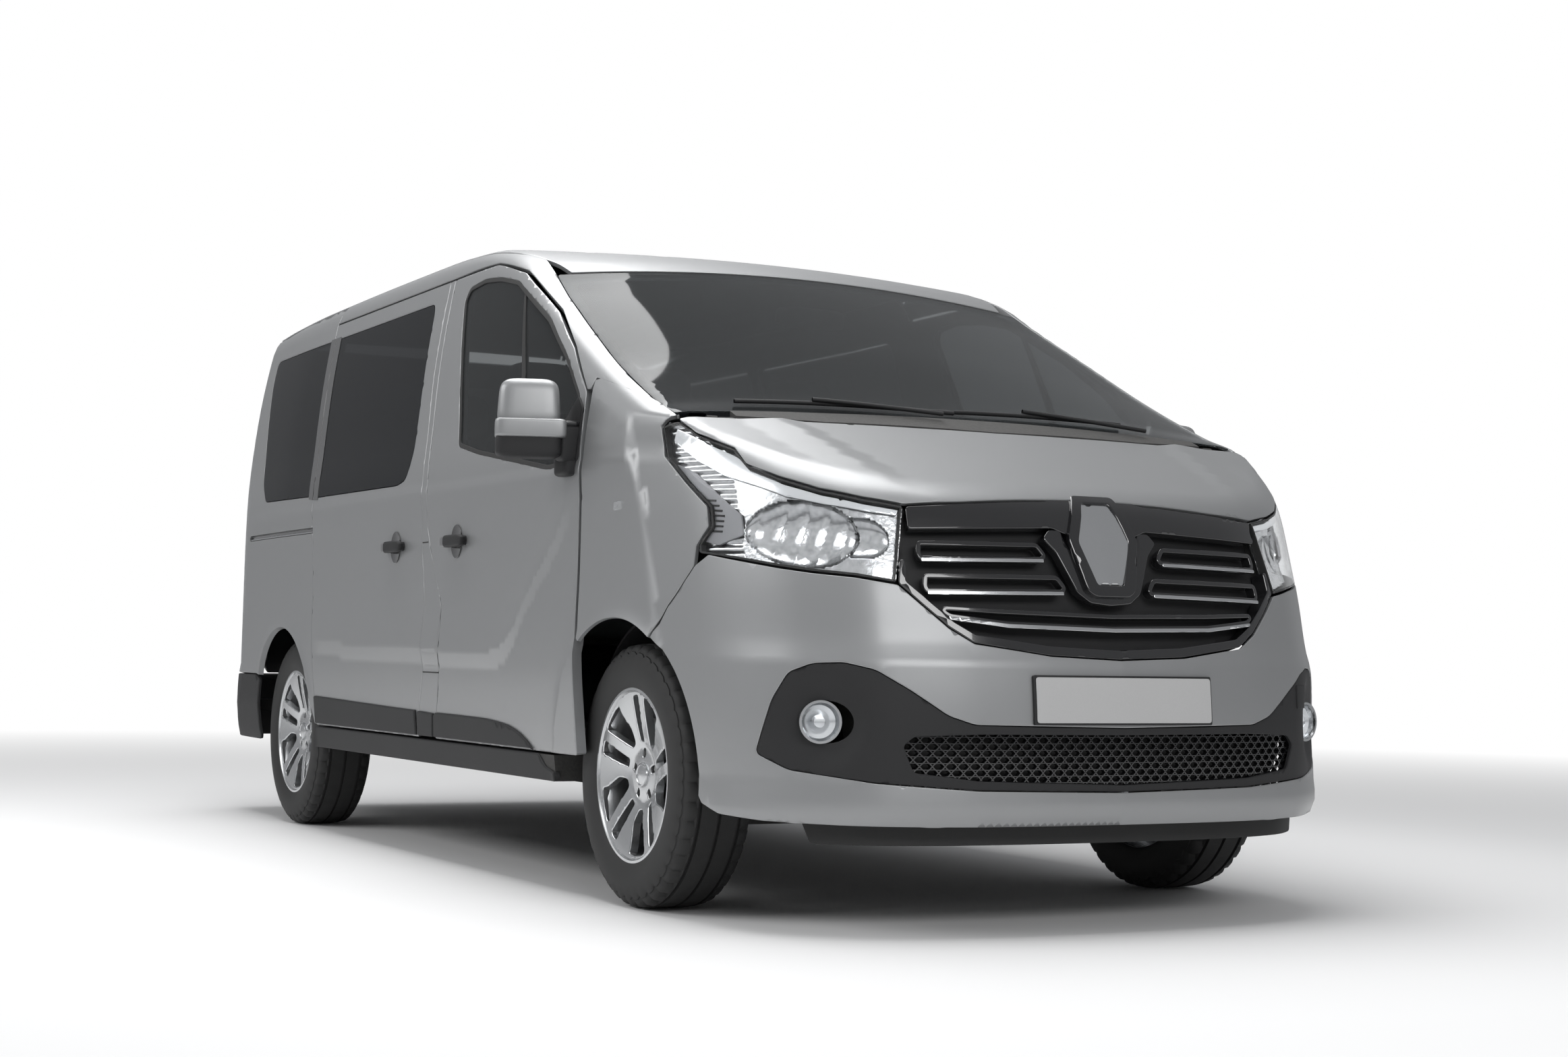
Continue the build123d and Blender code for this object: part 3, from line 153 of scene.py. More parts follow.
def through(*points):
    """A smooth line through set points, with no overshoot between them."""
    at, value = np.array(points, float).T
    step = np.diff(at)
    slope = np.diff(value) / step
    tangent = np.concatenate(([slope[0]], np.zeros(len(at) - 2), [slope[-1]]))
    for i in range(1, len(at) - 1):
        if slope[i - 1] * slope[i] > 0:
            tangent[i] = 2 * slope[i - 1] * slope[i] / (slope[i - 1] + slope[i])

    def line(where):
        where = np.clip(where, at[0], at[-1])
        i = np.clip(np.searchsorted(at, where, side="right") - 1, 0, len(step) - 1)
        s = (where - at[i]) / step[i]
        rise, first, last = value[i + 1] - value[i], tangent[i] * step[i], tangent[i + 1] * step[i]
        return value[i] + s * (first + s * (3 * rise - 2 * first - last + s
            * (first + last - 2 * rise)))

    return line


side_inset = through((200, 50), (300, 34), (490, 15), (640, 4), (700, 3), (900, 8), (1166, 10),
    (1384, 36), (1623, 70), (1848, 114), (2100, 180))
side_taper = through((-2499, 190), (-2200, 75), (-1985, 42), (-1780, 22), (-1560, 10), (-1330, 4),
    (-1000, 0), (1500, 0), (1900, 6), (2200, 16), (2499, 45))
roof_drop = through((-2499, 960), (-2360, 899), (-2100, 787), (-1900, 703), (-1780, 652),
    (-1300, 411), (-800, 161), (-650, 91), (-450, 43), (-200, 14), (200, 1), (700, 0), (1500, 5),
    (2000, 16), (2400, 40), (2499, 52))
roof_crown = through((-2499, 45), (-2285, 40), (-1989, 36), (-1790, 28), (-1655, 44), (-1290, 63),
    (-900, 60), (-624, 44), (-400, 30), (-100, 22), (2499, 20))
nose_bow = through((0, 0), (200, 6), (400, 26), (600, 84), (757, 205), (850, 322), (900, 430),
    (940, 640))
nose_rake = through((200, 40), (262, 22), (330, 4), (480, 0), (640, 12), (700, 34), (836, 66),
    (948, 100), (1070, 142), (1200, 220))
tail_bow = through((0, 0), (400, 8), (650, 24), (800, 50), (870, 90), (920, 160), (950, 280))
tail_rake = through((200, 34), (300, 5), (400, 0), (530, 3), (600, 44), (1000, 58), (1230, 78),
    (1500, 124), (1800, 190), (2000, 240))


def blend(first, second, radius):
    """The larger of two distances, rolled over where they are close."""
    near = np.maximum(radius - np.abs(first - second), 0)
    return np.maximum(first, second) + near * near / (4 * radius)


def outside(p):
    """How far places are outside the body; negative inside it."""
    x, y, z = np.abs(p[:, 0]), p[:, 1], p[:, 2]
    side = x - (HALF_WIDTH - side_inset(z) - side_taper(y))
    top = 0.9 * (z - (HEIGHT - roof_drop(y) - roof_crown(y) * (x / 800) ** 2))
    nose = FRONT_END + nose_bow(x) + nose_rake(z) - y
    tail = y - (REAR_END - tail_bow(x) - tail_rake(z))
    return blend(blend(blend(side, top, SHOULDER_ROLL), nose, END_ROLL), tail, END_ROLL)


def skin(start, direction, reach=2600.0):
    """Where rays from inside the body leave it."""
    start, direction = np.atleast_2d(start).astype(float), np.atleast_2d(direction).astype(float)
    near = np.zeros(max(len(start), len(direction)))
    far = near + reach
    for _ in range(30):
        middle = (near + far) / 2
        inside = outside(start + middle[:, None] * direction) < 0
        near, far = np.where(inside, middle, near), np.where(inside, far, middle)
    return start + near[:, None] * direction


def columns(*values):
    """Rows of (x, y, z) from single numbers and runs of numbers."""
    return np.stack(np.broadcast_arrays(*[np.asarray(v, float) for v in values]), axis=1)


def on_side(side, extra=None):
    """Places on one side of the van, from (y, z)."""
    def lift(uv):
        p = skin(columns(0 * uv[:, 0], uv[:, 0], uv[:, 1]), (side, 0, 0))
        if extra is not None:
            p[:, 0] += side * extra(uv[:, 0], uv[:, 1])
        return p
    return lift


def on_top(uv):
    return skin(columns(uv[:, 0], uv[:, 1], 500.0), (0, 0, 1))


def on_nose(uv):
    return skin(columns(uv[:, 0], -1500.0, uv[:, 1]), (0, -1, 0))


def on_tail(uv):
    return skin(columns(uv[:, 0], 1500.0, uv[:, 1]), (0, 1, 0))


TURN_SPREAD = 1000.0


def round_corner(centre):
    """Places round an upright corner, from (turn x TURN_SPREAD, z), seen from a centre."""
    def lift(uv):
        turn = uv[:, 0] / TURN_SPREAD
        return skin(columns(centre[0], centre[1], uv[:, 1]),
            columns(np.cos(turn), np.sin(turn), 0.0))
    return lift


def facing(centre, axis, extra=None):
    """Places seen from a point inside along an axis: a lift and its inverse, place."""
    centre, axis = np.array(centre, float), np.array(axis, float) / np.linalg.norm(axis)
    across = np.cross((0, 0, 1), axis) if abs(axis[2]) < 0.9 else np.array((1.0, 0, 0))
    across /= np.linalg.norm(across)
    upward = np.cross(axis, across)

    def lift(uv):
        p = skin(centre, axis + uv[:, :1] / 1000 * across + uv[:, 1:2] / 1000 * upward, 3500.0)
        if extra is not None:
            p[:, 0] += np.sign(p[:, 0]) * extra(p[:, 1], p[:, 2])
        return p

    def place(points):
        ray = np.array(points, float) - centre
        return np.stack((ray @ across, ray @ upward), axis=1) / (ray @ axis)[:, None] * 1000
    return lift, place


def side_points(side, pairs):
    return on_side(side)(np.array(pairs, float))


def nose_points(pairs):
    return on_nose(np.array(pairs, float))


def top_points(pairs):
    return on_top(np.array(pairs, float))


def turned(points, centre):
    """Points in space as (turn x TURN_SPREAD, z) round an upright corner."""
    points = np.array(points, float)
    turn = np.unwrap(np.arctan2(points[:, 1] - centre[1], points[:, 0] - centre[0]))
    return np.stack((turn * TURN_SPREAD, points[:, 2]), axis=1)


def away_from(p, centre):
    """Level directions of unit length, from an upright line to each place."""
    ray = p - columns(centre[0], centre[1], p[:, 2])
    return ray / np.linalg.norm(ray, axis=1)[:, None]


def whole(half):
    """The left half of an outline and its mirror image, as one loop."""
    return np.concatenate((half, half[::-1][1:-1] * (-1, 1, 1)))


# ---- Pressing one panel ----
# Sheet steel is cut to its outline, pressed to the skin and hemmed over at every edge,
# so each panel here has a rolled edge, a return and an inner face.

def softened(points, radius=14.0, step=22.0):
    """The outline with its corners rounded, as evenly spaced points."""
    points = np.array(points, float)
    result = []
    for i, point in enumerate(points):
        before, after = points[i - 1] - point, points[(i + 1) % len(points)] - point
        cut = [min(radius, 0.45 * np.linalg.norm(v)) for v in (before, after)]
        first = point + before / np.linalg.norm(before) * cut[0]
        last = point + after / np.linalg.norm(after) * cut[1]
        for s in np.linspace(0, 1, 5):
            result.append((1 - s) ** 2 * first + 2 * s * (1 - s) * point + s * s * last)
    dense = []
    for i, point in enumerate(result):
        after = result[(i + 1) % len(result)]
        count = max(1, int(np.linalg.norm(after - point) / step))
        dense += [point + (after - point) * k / count for k in range(count)]
    return np.array(dense)


def drawn_in(loop, by):
    """A loop moved inwards by a distance; a negative one moves it out."""
    area = np.sum(loop[:, 0] * np.roll(loop[:, 1], -1) - np.roll(loop[:, 0], -1) * loop[:, 1])
    along = np.roll(loop, -1, axis=0) - np.roll(loop, 1, axis=0)
    along /= np.linalg.norm(along, axis=1)[:, None] + 1e-9
    return loop + by * np.sign(area) * np.stack((-along[:, 1], along[:, 0]), axis=1)


def within(points, loop):
    """Which points lie inside a loop."""
    result = np.zeros(len(points), bool)
    for (x0, y0), (x1, y1) in zip(loop, np.roll(loop, -1, axis=0)):
        if y0 != y1:
            crosses = (y0 > points[:, 1]) != (y1 > points[:, 1])
            result ^= crosses & (points[:, 0] < (x1 - x0) * (points[:, 1] - y0) / (y1 - y0) + x0)
    return result


def placed(name, data, body):
    """A mesh or a curve as an object of the scene, riding one body."""
    piece = bpy.data.objects.new(name, data)
    scene.collection.objects.link(piece)
    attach(piece, body)
    return piece


def panel(name, outline, lift, material, body, depth=18.0, holes=(), grid=32.0, edge=2.5, sunk=0.0,
        flip=None):
    """A hemmed panel: outline and holes in flat places, lifted to the skin. Returns the object."""
    # The outline, the holes and a staggered net of points inside are cut into triangles.
    loops = [np.array(outline, float)] + [np.array(h, float) for h in holes]
    flat, ties = [], []
    for number, loop in enumerate(loops):
        first = len(flat)
        flat += list(loop)
        ties += [(first + i, first + (i + 1) % len(loop)) for i in range(len(loop))]
        if edge:
            flat += list(drawn_in(loop, edge if number == 0 else -edge))
    low, high = loops[0].min(0), loops[0].max(0)
    across = np.arange(low[0] + grid / 2, high[0], grid)
    upward = np.arange(low[1] + grid / 2, high[1], grid)
    net = np.array([(a + (grid / 2 if row % 2 else 0), b) for row, b in enumerate(upward)
        for a in across]).reshape(-1, 2)
    keep = within(net, loops[0])
    for loop in loops[1:]:
        keep &= ~within(net, loop)
    net = net[keep]
    rims = np.array(flat)
    near = np.array([np.min(np.sum((rims - point) ** 2, axis=1))
        for point in net]) if len(net) else np.zeros(0)
    flat += list(net[near > (0.45 * grid) ** 2]) if len(net) else []
    places, _, faces, *_ = delaunay_2d_cdt([Vector(p) for p in flat], ties, [], 0, 1e-4)
    places = np.array([tuple(p) for p in places])
    faces = np.array([tuple(f) for f in faces if len(f) == 3])
    middle = places[faces].mean(axis=1)
    keep = within(middle, loops[0])
    for loop in loops[1:]:
        keep &= ~within(middle, loop)
    faces = faces[keep]
    used = np.unique(faces)
    new = np.full(len(places), -1)
    new[used] = np.arange(len(used))
    places, faces = places[used], new[faces]
    # Each place is lifted to the skin, with the skin's own direction there.
    count = len(places)
    top = lift(places)
    normal = np.cross(lift(places + (1, 0)) - top, lift(places + (0, 1)) - top)
    normal /= np.linalg.norm(normal, axis=1)[:, None] + 1e-12
    if flip is None:
        flip = (outside(top + 3 * normal) - outside(top - 3 * normal)).sum()
    if flip < 0:
        normal = -normal
    # The rim is where a triangle has no neighbour; it's rolled back and faces outwards.
    edges = {}
    for a, b, c in faces:
        for pair in ((a, b), (b, c), (c, a)):
            edges[pair] = edges.get(pair, 0) + 1
    rim = [pair for pair in edges if (pair[1], pair[0]) not in edges]
    face_side = np.cross(top[faces[:, 1]] - top[faces[:, 0]], top[faces[:, 2]] - top[faces[:, 0]])
    forwards = (face_side * normal[faces[:, 0]]).sum() > 0
    if not forwards:
        faces = faces[:, ::-1]
        rim = [(b, a) for a, b in rim]
    away = np.zeros((count, 3))
    for a, b in rim:
        out = np.cross(top[b] - top[a], normal[a])
        away[a] += out
        away[b] += out
    on_rim = np.linalg.norm(away, axis=1) > 0
    away[on_rim] /= np.linalg.norm(away[on_rim], axis=1)[:, None]
    top = top - sunk * normal
    front = top.copy()
    front[on_rim] -= edge * 0.9 * normal[on_rim]
    shading = normal.copy()
    shading[on_rim] = normal[on_rim] + 0.9 * away[on_rim]
    back = top - depth * normal
    # Front, back and the return between them make one closed piece.
    verts = np.concatenate((front, back, front[on_rim])) / 1000
    skirt = np.full(count, -1)
    skirt[on_rim] = 2 * count + np.arange(on_rim.sum())
    polygons = [tuple(f) for f in faces] + [tuple(f[::-1] + count) for f in faces]
    polygons += [(skirt[b], skirt[a], a + count, b + count) for a, b in rim]
    mesh = bpy.data.meshes.new(name)
    mesh.from_pydata([tuple(v) for v in verts], [], [tuple(int(i) for i in f) for f in polygons])
    mesh.polygons.foreach_set("use_smooth", [True] * len(polygons))
    # The shading follows the pressed skin, so the triangles don't show.
    corner = np.zeros((len(mesh.loops), 3))
    index = np.zeros(len(mesh.loops), int)
    mesh.loops.foreach_get("vertex_index", index)
    origin = np.concatenate((np.arange(count), np.arange(count), np.flatnonzero(on_rim)))
    start = 0
    for size, way in ((3 * len(faces), shading), (3 * len(faces), -normal), (4 * len(rim), away)):
        corner[start:start + size] = way[origin[index[start:start + size]]]
        start += size
    corner /= np.linalg.norm(corner, axis=1)[:, None] + 1e-12
    mesh.normals_split_custom_set([tuple(n) for n in corner])
    mesh.materials.append(material)
    if material is paint:
        mesh.materials.append(lining)
        shades = [0] * len(faces) + [1] * len(faces) + [0] * len(rim)
        mesh.polygons.foreach_set("material_index", shades)
    return placed(name, mesh, body)


# ---- Body paint ----
# Silver-grey basecoat with fine metal flake under a clear lacquer.
# The flake is a small-scale sparkle in the normal; the lacquer is the shader's own coat.

def grain_group(name, scale, strength, spread):
    """A node group with fine relief as a normal, its mask, and a roughness that wanders."""
    group = bpy.data.node_groups.new(name, "ShaderNodeTree")
    for label, kind, value in (("Scale", "NodeSocketFloat", scale), ("Relief", "NodeSocketFloat",
            strength), ("Base Roughness", "NodeSocketFloat", 0.5), ("Spread", "NodeSocketFloat",
            spread)):
        socket = group.interface.new_socket(name=label, in_out="INPUT", socket_type=kind)
        socket.default_value = value
    group.interface.new_socket(name="Normal", in_out="OUTPUT", socket_type="NodeSocketVector")
    group.interface.new_socket(name="Roughness", in_out="OUTPUT", socket_type="NodeSocketFloat")
    group.interface.new_socket(name="Mask", in_out="OUTPUT", socket_type="NodeSocketFloat")
    inside, wire = group.nodes, group.links
    given, out = inside.new("NodeGroupInput"), inside.new("NodeGroupOutput")
    where = inside.new("ShaderNodeTexCoord")
    noise = inside.new("ShaderNodeTexNoise")
    noise.inputs["Detail"].default_value = 3.0
    wire.new(where.outputs["Object"], noise.inputs["Vector"])
    wire.new(given.outputs["Scale"], noise.inputs["Scale"])
    bump = inside.new("ShaderNodeBump")
    bump.inputs["Distance"].default_value = 0.001
    wire.new(given.outputs["Relief"], bump.inputs["Strength"])
    wire.new(noise.outputs["Fac"], bump.inputs["Height"])
    wire.new(bump.outputs["Normal"], out.inputs["Normal"])
    cloud = inside.new("ShaderNodeTexNoise")
    cloud.inputs["Scale"].default_value = 3.0
    wire.new(where.outputs["Object"], cloud.inputs["Vector"])
    shift = inside.new("ShaderNodeMath")
    shift.operation = "MULTIPLY_ADD"
    wire.new(cloud.outputs["Fac"], shift.inputs[0])
    wire.new(given.outputs["Spread"], shift.inputs[1])
    wire.new(given.outputs["Base Roughness"], shift.inputs[2])
    wire.new(shift.outputs[0], out.inputs["Roughness"])
    wire.new(noise.outputs["Fac"], out.inputs["Mask"])
    return group


fine_grain = grain_group("fine_grain", 900.0, 0.2, 0.05)


def finish(name, colour, other, roughness, metallic=0.0, scale=900.0, relief=0.2, spread=0.05,
        **sockets):
    """A material with fine grain: two close colours mixed by the grain, and uneven roughness."""
    material, bsdf, nodes, links = shader(name)
    grain = nodes.new("ShaderNodeGroup")
    grain.node_tree = fine_grain
    dial(grain, Scale=scale, Relief=relief, Base_Roughness=roughness, Spread=spread)
    mix = nodes.new("ShaderNodeMix")
    mix.data_type = "RGBA"
    dial(mix, A=(*colour, 1), B=(*other, 1))
    links.new(grain.outputs["Mask"], mix.inputs["Factor"])
    links.new(mix.outputs["Result"], bsdf.inputs["Base Color"])
    links.new(grain.outputs["Roughness"], bsdf.inputs["Roughness"])
    links.new(grain.outputs["Normal"], bsdf.inputs["Normal"])
    dial(bsdf, Metallic=metallic, **sockets)
    return material


paint = finish("silver_paint", (0.25, 0.255, 0.26), (0.34, 0.345, 0.35), 0.42, 0.6, 2500.0, 0.10,
    0.03, Coat_Weight=0.5, Coat_Roughness=0.22)
lining = finish("cabin_lining", (0.035, 0.035, 0.037), (0.06, 0.06, 0.062), 0.85, scale=500.0,
    relief=0.4)
black_plastic = finish("black_grained_plastic", (0.012, 0.012, 0.013), (0.022, 0.022, 0.023), 0.55,
    scale=1400.0, relief=0.35, Specular_IOR_Level=0.35)
gloss_black = finish("gloss_black", (0.008, 0.008, 0.009), (0.012, 0.012, 0.013), 0.10, scale=300.0,
    relief=0.02, Coat_Weight=1.0)
rubber = finish("seal_rubber", (0.012, 0.012, 0.012), (0.022, 0.022, 0.022), 0.65, scale=700.0,
    relief=0.3)
bright = finish("bright_trim", (0.62, 0.63, 0.64), (0.70, 0.71, 0.72), 0.16, 1.0, 500.0, 0.03)
underseal = finish("underseal", (0.025, 0.025, 0.025), (0.06, 0.058, 0.055), 0.75, scale=120.0,
    relief=0.6)

# ---- Sides: wings, doors, quarter panel and left side ----
# Pressed steel panels hung on the shell with 5 mm gaps; a crease runs along the doors and
# turns up over the front wheel, and the wheel openings have a rolled lip.

SIDES = ((-1, "right"), (1, "left"))
FRONT_ARCH, REAR_ARCH = (-1574.5, 345.0, 412.0), (1521.5, 345.0, 392.0)
crease_line = through((-1345, 1150), (-1303, 1103), (-1150, 960), (-980, 826), (-847, 706),
    (-740, 668), (-600, 661), (-86, 667), (1143, 691), (1900, 705))
crease_fade = through((-1330, 0), (-1200, 1), (1000, 1), (1180, 0), (2500, 0))
shoulder_fade = through((-1900, 0), (-1500, 1), (1900, 1), (2100, 0))
WAIST_Z = 1158.0


def side_shape(y, z):
    """How far the pressing stands out from the plain skin."""
    over = z - crease_line(y)
    ridge = np.where(over > 0, np.maximum(0, 1 - over / 130), np.maximum(0, 1 + over / 55))
    result = 9.0 * ridge * crease_fade(y)
    over = z - WAIST_Z
    result += 4.0 * np.where(over > 0, np.maximum(0, 1 - over / 30),
        np.maximum(0, 1 + over / 70)) * shoulder_fade(y)
    for centre_y, centre_z, radius in (FRONT_ARCH, REAR_ARCH):
        away = np.hypot(y - centre_y, z - centre_z) - radius
        result += 7.0 * np.clip(1 - away / 45, 0, 1) ** 2
    return result


def arch(line, start, end):
    """Points along a wheel opening, between two angles from straight ahead, over the top."""
    y, z, radius = line
    turns = np.radians(np.linspace(start, end, 25))
    return [(y - radius * math.cos(t), z + radius * math.sin(t)) for t in turns]


DOOR_BOTTOM, DOOR_TOP, DOOR_FRONT, WING_REAR = 385.0, 1858.0, -1322.0, -1341.0
FRONT_DOOR_REAR = [(-14, DOOR_TOP), (-39, 1519), (-70, 1282), (-103, 1047), (-181, 886),
    (-257, 801), (-267, 704), (-243, 590), (-190, 440), (-172, DOOR_BOTTOM)]
FRONT_DOOR = [(DOOR_FRONT, DOOR_BOTTOM), (DOOR_FRONT, 1180), (-1300, 1375), (-1150, 1512),
    (-955, 1640), (-640, 1797), (-450, 1844), (-380, DOOR_TOP)] + FRONT_DOOR_REAR
SLIDER_REAR = [(1110, DOOR_BOTTOM), (1118, 700), (1175, 1160), (1240, 1640), (1268, DOOR_TOP)]
SLIDER_FRONT = [(33, DOOR_TOP), (14, 1524), (-25, 1285), (-50, 975), (-98, 802), (-88, 590),
    (-32, 469), (-15, DOOR_BOTTOM)]
DOOR_WINDOW = [(-330, 1290), (-150, 1772), (-180, 1812), (-309, 1822), (-454, 1808), (-618, 1775),
    (-938, 1622), (-1127, 1492), (-1262, 1366), (-1300, 1180), (-1093, 1172), (-510, 1255)]
SLIDER_WINDOW = [(95, 1300), (135, 1215), (220, 1198), (1150, 1205), (1215, 1790), (1190, 1800),
    (155, 1800), (130, 1770)]
QUARTER_WINDOW = [(1206, 1212), (1850, 1222), (1935, 1300), (2060, 1700), (2060, 1780),
    (2035, 1800), (1290, 1800), (1268, 1780)]
RAIL_SLOT = [(1166, 1077), (2060, 1077), (2078, 1088), (2060, 1099), (1166, 1099)]
for side, word in SIDES:
    lift = on_side(side, side_shape)
    lower = arch(FRONT_ARCH, 61, 122)
    wing_lift, wing_place = facing((side * 250, -1450, 850), (side, 0, 0.25), side_shape)
    rim = np.concatenate((side_points(side, [(-1779, 715), (-1834, 786), (-1868, 815), (-1938, 884),
        (-1942, 935), (-1979, 981), (-1966, 1031), (-1875, 1095), (-1773, 1167), (-1745, 1247),
        (-1790, 1276)]), top_points([(side * 893, -1790), (side * 886, -1655)]),
        side_points(side, [(-1560, 1354), (-1440, 1404), (-1341, 1404), (WING_REAR, 1200),
        (WING_REAR, 700)] + lower[::-1])))
    wing = panel("front_wing_" + word, softened(wing_place(rim), 5, 25), wing_lift, paint, "body",
        depth=12)
    if side == -1:
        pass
    else:
        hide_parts("front_wings")
    outline = softened(FRONT_DOOR, 12)
    door = panel("front_door_skin_" + word, outline, lift, paint, "front_door_" + word, depth=30,
        grid=16, holes=[softened(DOOR_WINDOW, 20)])
    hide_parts("front_door_" + word)

right_lift, left_lift = on_side(-1, side_shape), on_side(1, side_shape)
slider = panel("sliding_door_skin", softened(SLIDER_REAR + SLIDER_FRONT, 12), right_lift, paint,
    "body", depth=34, grid=18, holes=[softened(SLIDER_WINDOW, 30)])
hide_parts("sliding_door")

CORNER, CORNER_SPREAD = (640.0, 2100.0), 300.0


def side_and_corner(side):
    """Side places up to the corner's start, then round the corner to the tailgate."""
    flat_side = on_side(side, side_shape)

    def lift(uv):
        beyond = uv[:, 0] > CORNER[1]
        turn = np.where(beyond, (uv[:, 0] - CORNER[1]) / CORNER_SPREAD, 0)
        start = columns(side * CORNER[0], CORNER[1], uv[:, 1])
        ray = columns(side * np.cos(turn), np.sin(turn), 0.0)
        return np.where(beyond[:, None], skin(start, ray), flat_side(uv))
    return lift


def corner_place(x, z):
    """The place along the side-and-corner run of a point on the tail."""
    y = on_tail(np.array([(x, z)], float))[0][1]
    return CORNER[1] + CORNER_SPREAD * math.atan2(y - CORNER[1], x - CORNER[0]), z


BUMPER_REAR_Y, BUMPER_REAR_TOP = 1925.0, 558.0
TAIL_EDGE = 806.0
tail_side = [corner_place(TAIL_EDGE, z) for z in (1896, 1800, 1600, 1400, 1200, 1000, 800, 700, 620,
    BUMPER_REAR_TOP)]
rear_low = [(BUMPER_REAR_Y, BUMPER_REAR_TOP)] + arch(REAR_ARCH, 148, 38)
quarter_outline = [(p[0] + 5, p[1]) for p in SLIDER_REAR] + [(1262, 1897)] + tail_side + rear_low
quarter = panel("quarter_panel_skin_right", softened(quarter_outline, 6), side_and_corner(-1),
    paint, "body", depth=22, holes=[softened(QUARTER_WINDOW, 30), softened(RAIL_SLOT, 6)])
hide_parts("quarter_panel_right")
left_outline = [(p[0] + 5, p[1])
    for p in FRONT_DOOR_REAR[::-1]] + [(-14, 1897)] + tail_side + rear_low
left_side = panel("body_side_skin_left", softened(left_outline, 6), side_and_corner(1), paint,
    "body", depth=22, holes=[softened(SLIDER_WINDOW, 30), softened(QUARTER_WINDOW, 30)])
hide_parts("body_side_left")
for side, start, word in ((-1, 1266.0, "right"), (1, -10.0, "left")):
    drip = [(start, 1882), (start, 1944), (2060, 1944), corner_place(TAIL_EDGE, 1936),
        corner_place(TAIL_EDGE, 1882), (2060, 1882)]
    rail = panel("roof_drip_rail_" + word, softened(drip, 3), side_and_corner(side), paint, "body",
        depth=16, sunk=3.5)

# ---- Roof, roof rails and windscreen pillars ----
# The roof skin is one pressing between two rails; the pillars carry on from the rails
# down beside the windscreen to the wings.

screen_reach = through((-1800, 906), (-1655, 900), (-1439, 892), (-1291, 880), (-900, 842),
    (-624, 800))
roof_side = [(757, -736), (770, -680), (786, -620), (797, -570), (806, -520), (812, -480),
    (812, 2150)]
roof_rear = [(x, 2262 - float(tail_bow(abs(x)))) for x in np.linspace(812, -812, 15)]
roof_outline = [(-x, y) for x, y in roof_side[::-1]] + roof_side + roof_rear


def on_roof(uv):
    """Places on the roof, with four long pressed ribs and a rear edge carried straight on."""
    p = on_top(np.stack((uv[:, 0], np.minimum(uv[:, 1], 2150.0)), axis=1))
    p[:, 1] = uv[:, 1]
    p[:, 2] += roof_drop(np.minimum(uv[:, 1], 2150.0)) - roof_drop(uv[:, 1])
    rib = np.clip(np.minimum(uv[:, 1] + 500, 2050 - uv[:, 1]) / 90, 0, 1)
    for x in (-560, -330, 330, 560):
        p[:, 2] -= 5 * rib * np.clip(1 - np.abs(uv[:, 0] - x) / 30, 0, 1)
    return p


roof = panel("roof_skin", softened(roof_outline, 5), on_roof, paint, "body", depth=14)
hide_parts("roof")

for side, word in SIDES:
    rail_lift, rail_place = facing((side * 350, -900, 1000), (side, 0, 0.9), side_shape)
    seam = [(side * (float(screen_reach(y)) - 10), y) for y in (-1640, -1440, -1290, -1090, -900,
        -780, -735)]
    door_line = [(-1341, 1410), (-1325, 1380), (-1305, 1380), (-1153, 1519), (-957, 1648),
        (-642, 1805), (-452, 1851), (-382, 1864)]
    rail = np.concatenate((top_points(seam + [(side * 790, -620), (side * 815, -480),
        (side * 817, -300), (side * 817, -30)]), side_points(side, [(-30, 1864)]),
        side_points(side, door_line[::-1])))
    frame_skin = panel("windscreen_pillar_" + word, softened(rail_place(rail), 5, 25), rail_lift,
        paint, "body", depth=24)
    if side == 1:
        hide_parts("door_frames")
rail_lift, rail_place = facing((-400, 600, 1000), (-1, 0, 0.9), side_shape)
rail = np.concatenate((top_points([(-817, -30), (-817, 300), (-817, 800), (-817, 1262)]),
    side_points(-1, [(1262, 1864), (800, 1864), (300, 1864), (-30, 1864)])))
rail_skin = panel("sliding_door_rail", softened(rail_place(rail), 5, 25), rail_lift, paint, "body",
    depth=24)
post_line = [(-9, 1858), (-34, 1519), (-65, 1284), (-98, 1047), (-176, 888), (-251, 803),
    (-261, 704), (-238, 592), (-185, 442), (-168, 390), (-20, 390), (-37, 469), (-93, 590),
    (-103, 802), (-55, 975), (-30, 1285), (9, 1524), (28, 1858)]
post = panel("middle_post", softened(post_line, 5), right_lift, paint, "body", depth=24)

# ---- Bonnet ----
# A pressed lid hinged under the windscreen, with two long creases that run to the lamps.

LID_SIDE = [(-1810, 1262), (-1880, 1222), (-1989, 1181)]
LID_FRONT = [(0, 1066), (200, 1060), (380, 1048), (528, 1037), (620, 1053), (700, 1074),
    (770, 1105), (820, 1138)]
half = np.concatenate((nose_points(LID_FRONT), side_points(1, LID_SIDE[::-1])))
mirror_half = half[::-1][:-1] * (-1, 1, 1)
hinge_line = top_points([(620, -1855), (500, -1868), (250, -1890), (0, -1900), (-250, -1890),
    (-500, -1868), (-620, -1855)])


def lid_crease(points):
    """How far the two long creases stand up, fading out at the nose."""
    x, y = np.abs(points[:, 0]), points[:, 1]
    line = 640 + 0.22 * (y + 1800)
    ridge = np.where(x > line, np.maximum(0, 1 - (x - line) / 110),
        np.maximum(0, 1 - (line - x) / 60))
    return 8 * ridge * np.clip((y + 2330) / 200, 0, 1)


plain_lift, lid_place = facing((0, -1550, 560), (0, -0.35, 1))


def lid_lift(uv):
    p = plain_lift(uv)
    p[:, 2] += lid_crease(p)
    return p


bonnet = panel("bonnet_skin", softened(lid_place(np.concatenate((mirror_half, half, hinge_line))),
    8, 30), lid_lift, paint, "bonnet", depth=14, grid=40)
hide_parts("bonnet")

# ---- Tailgate ----
# A tall top-hinged steel lid with a wide pane, a plate recess and a dark handle strip.

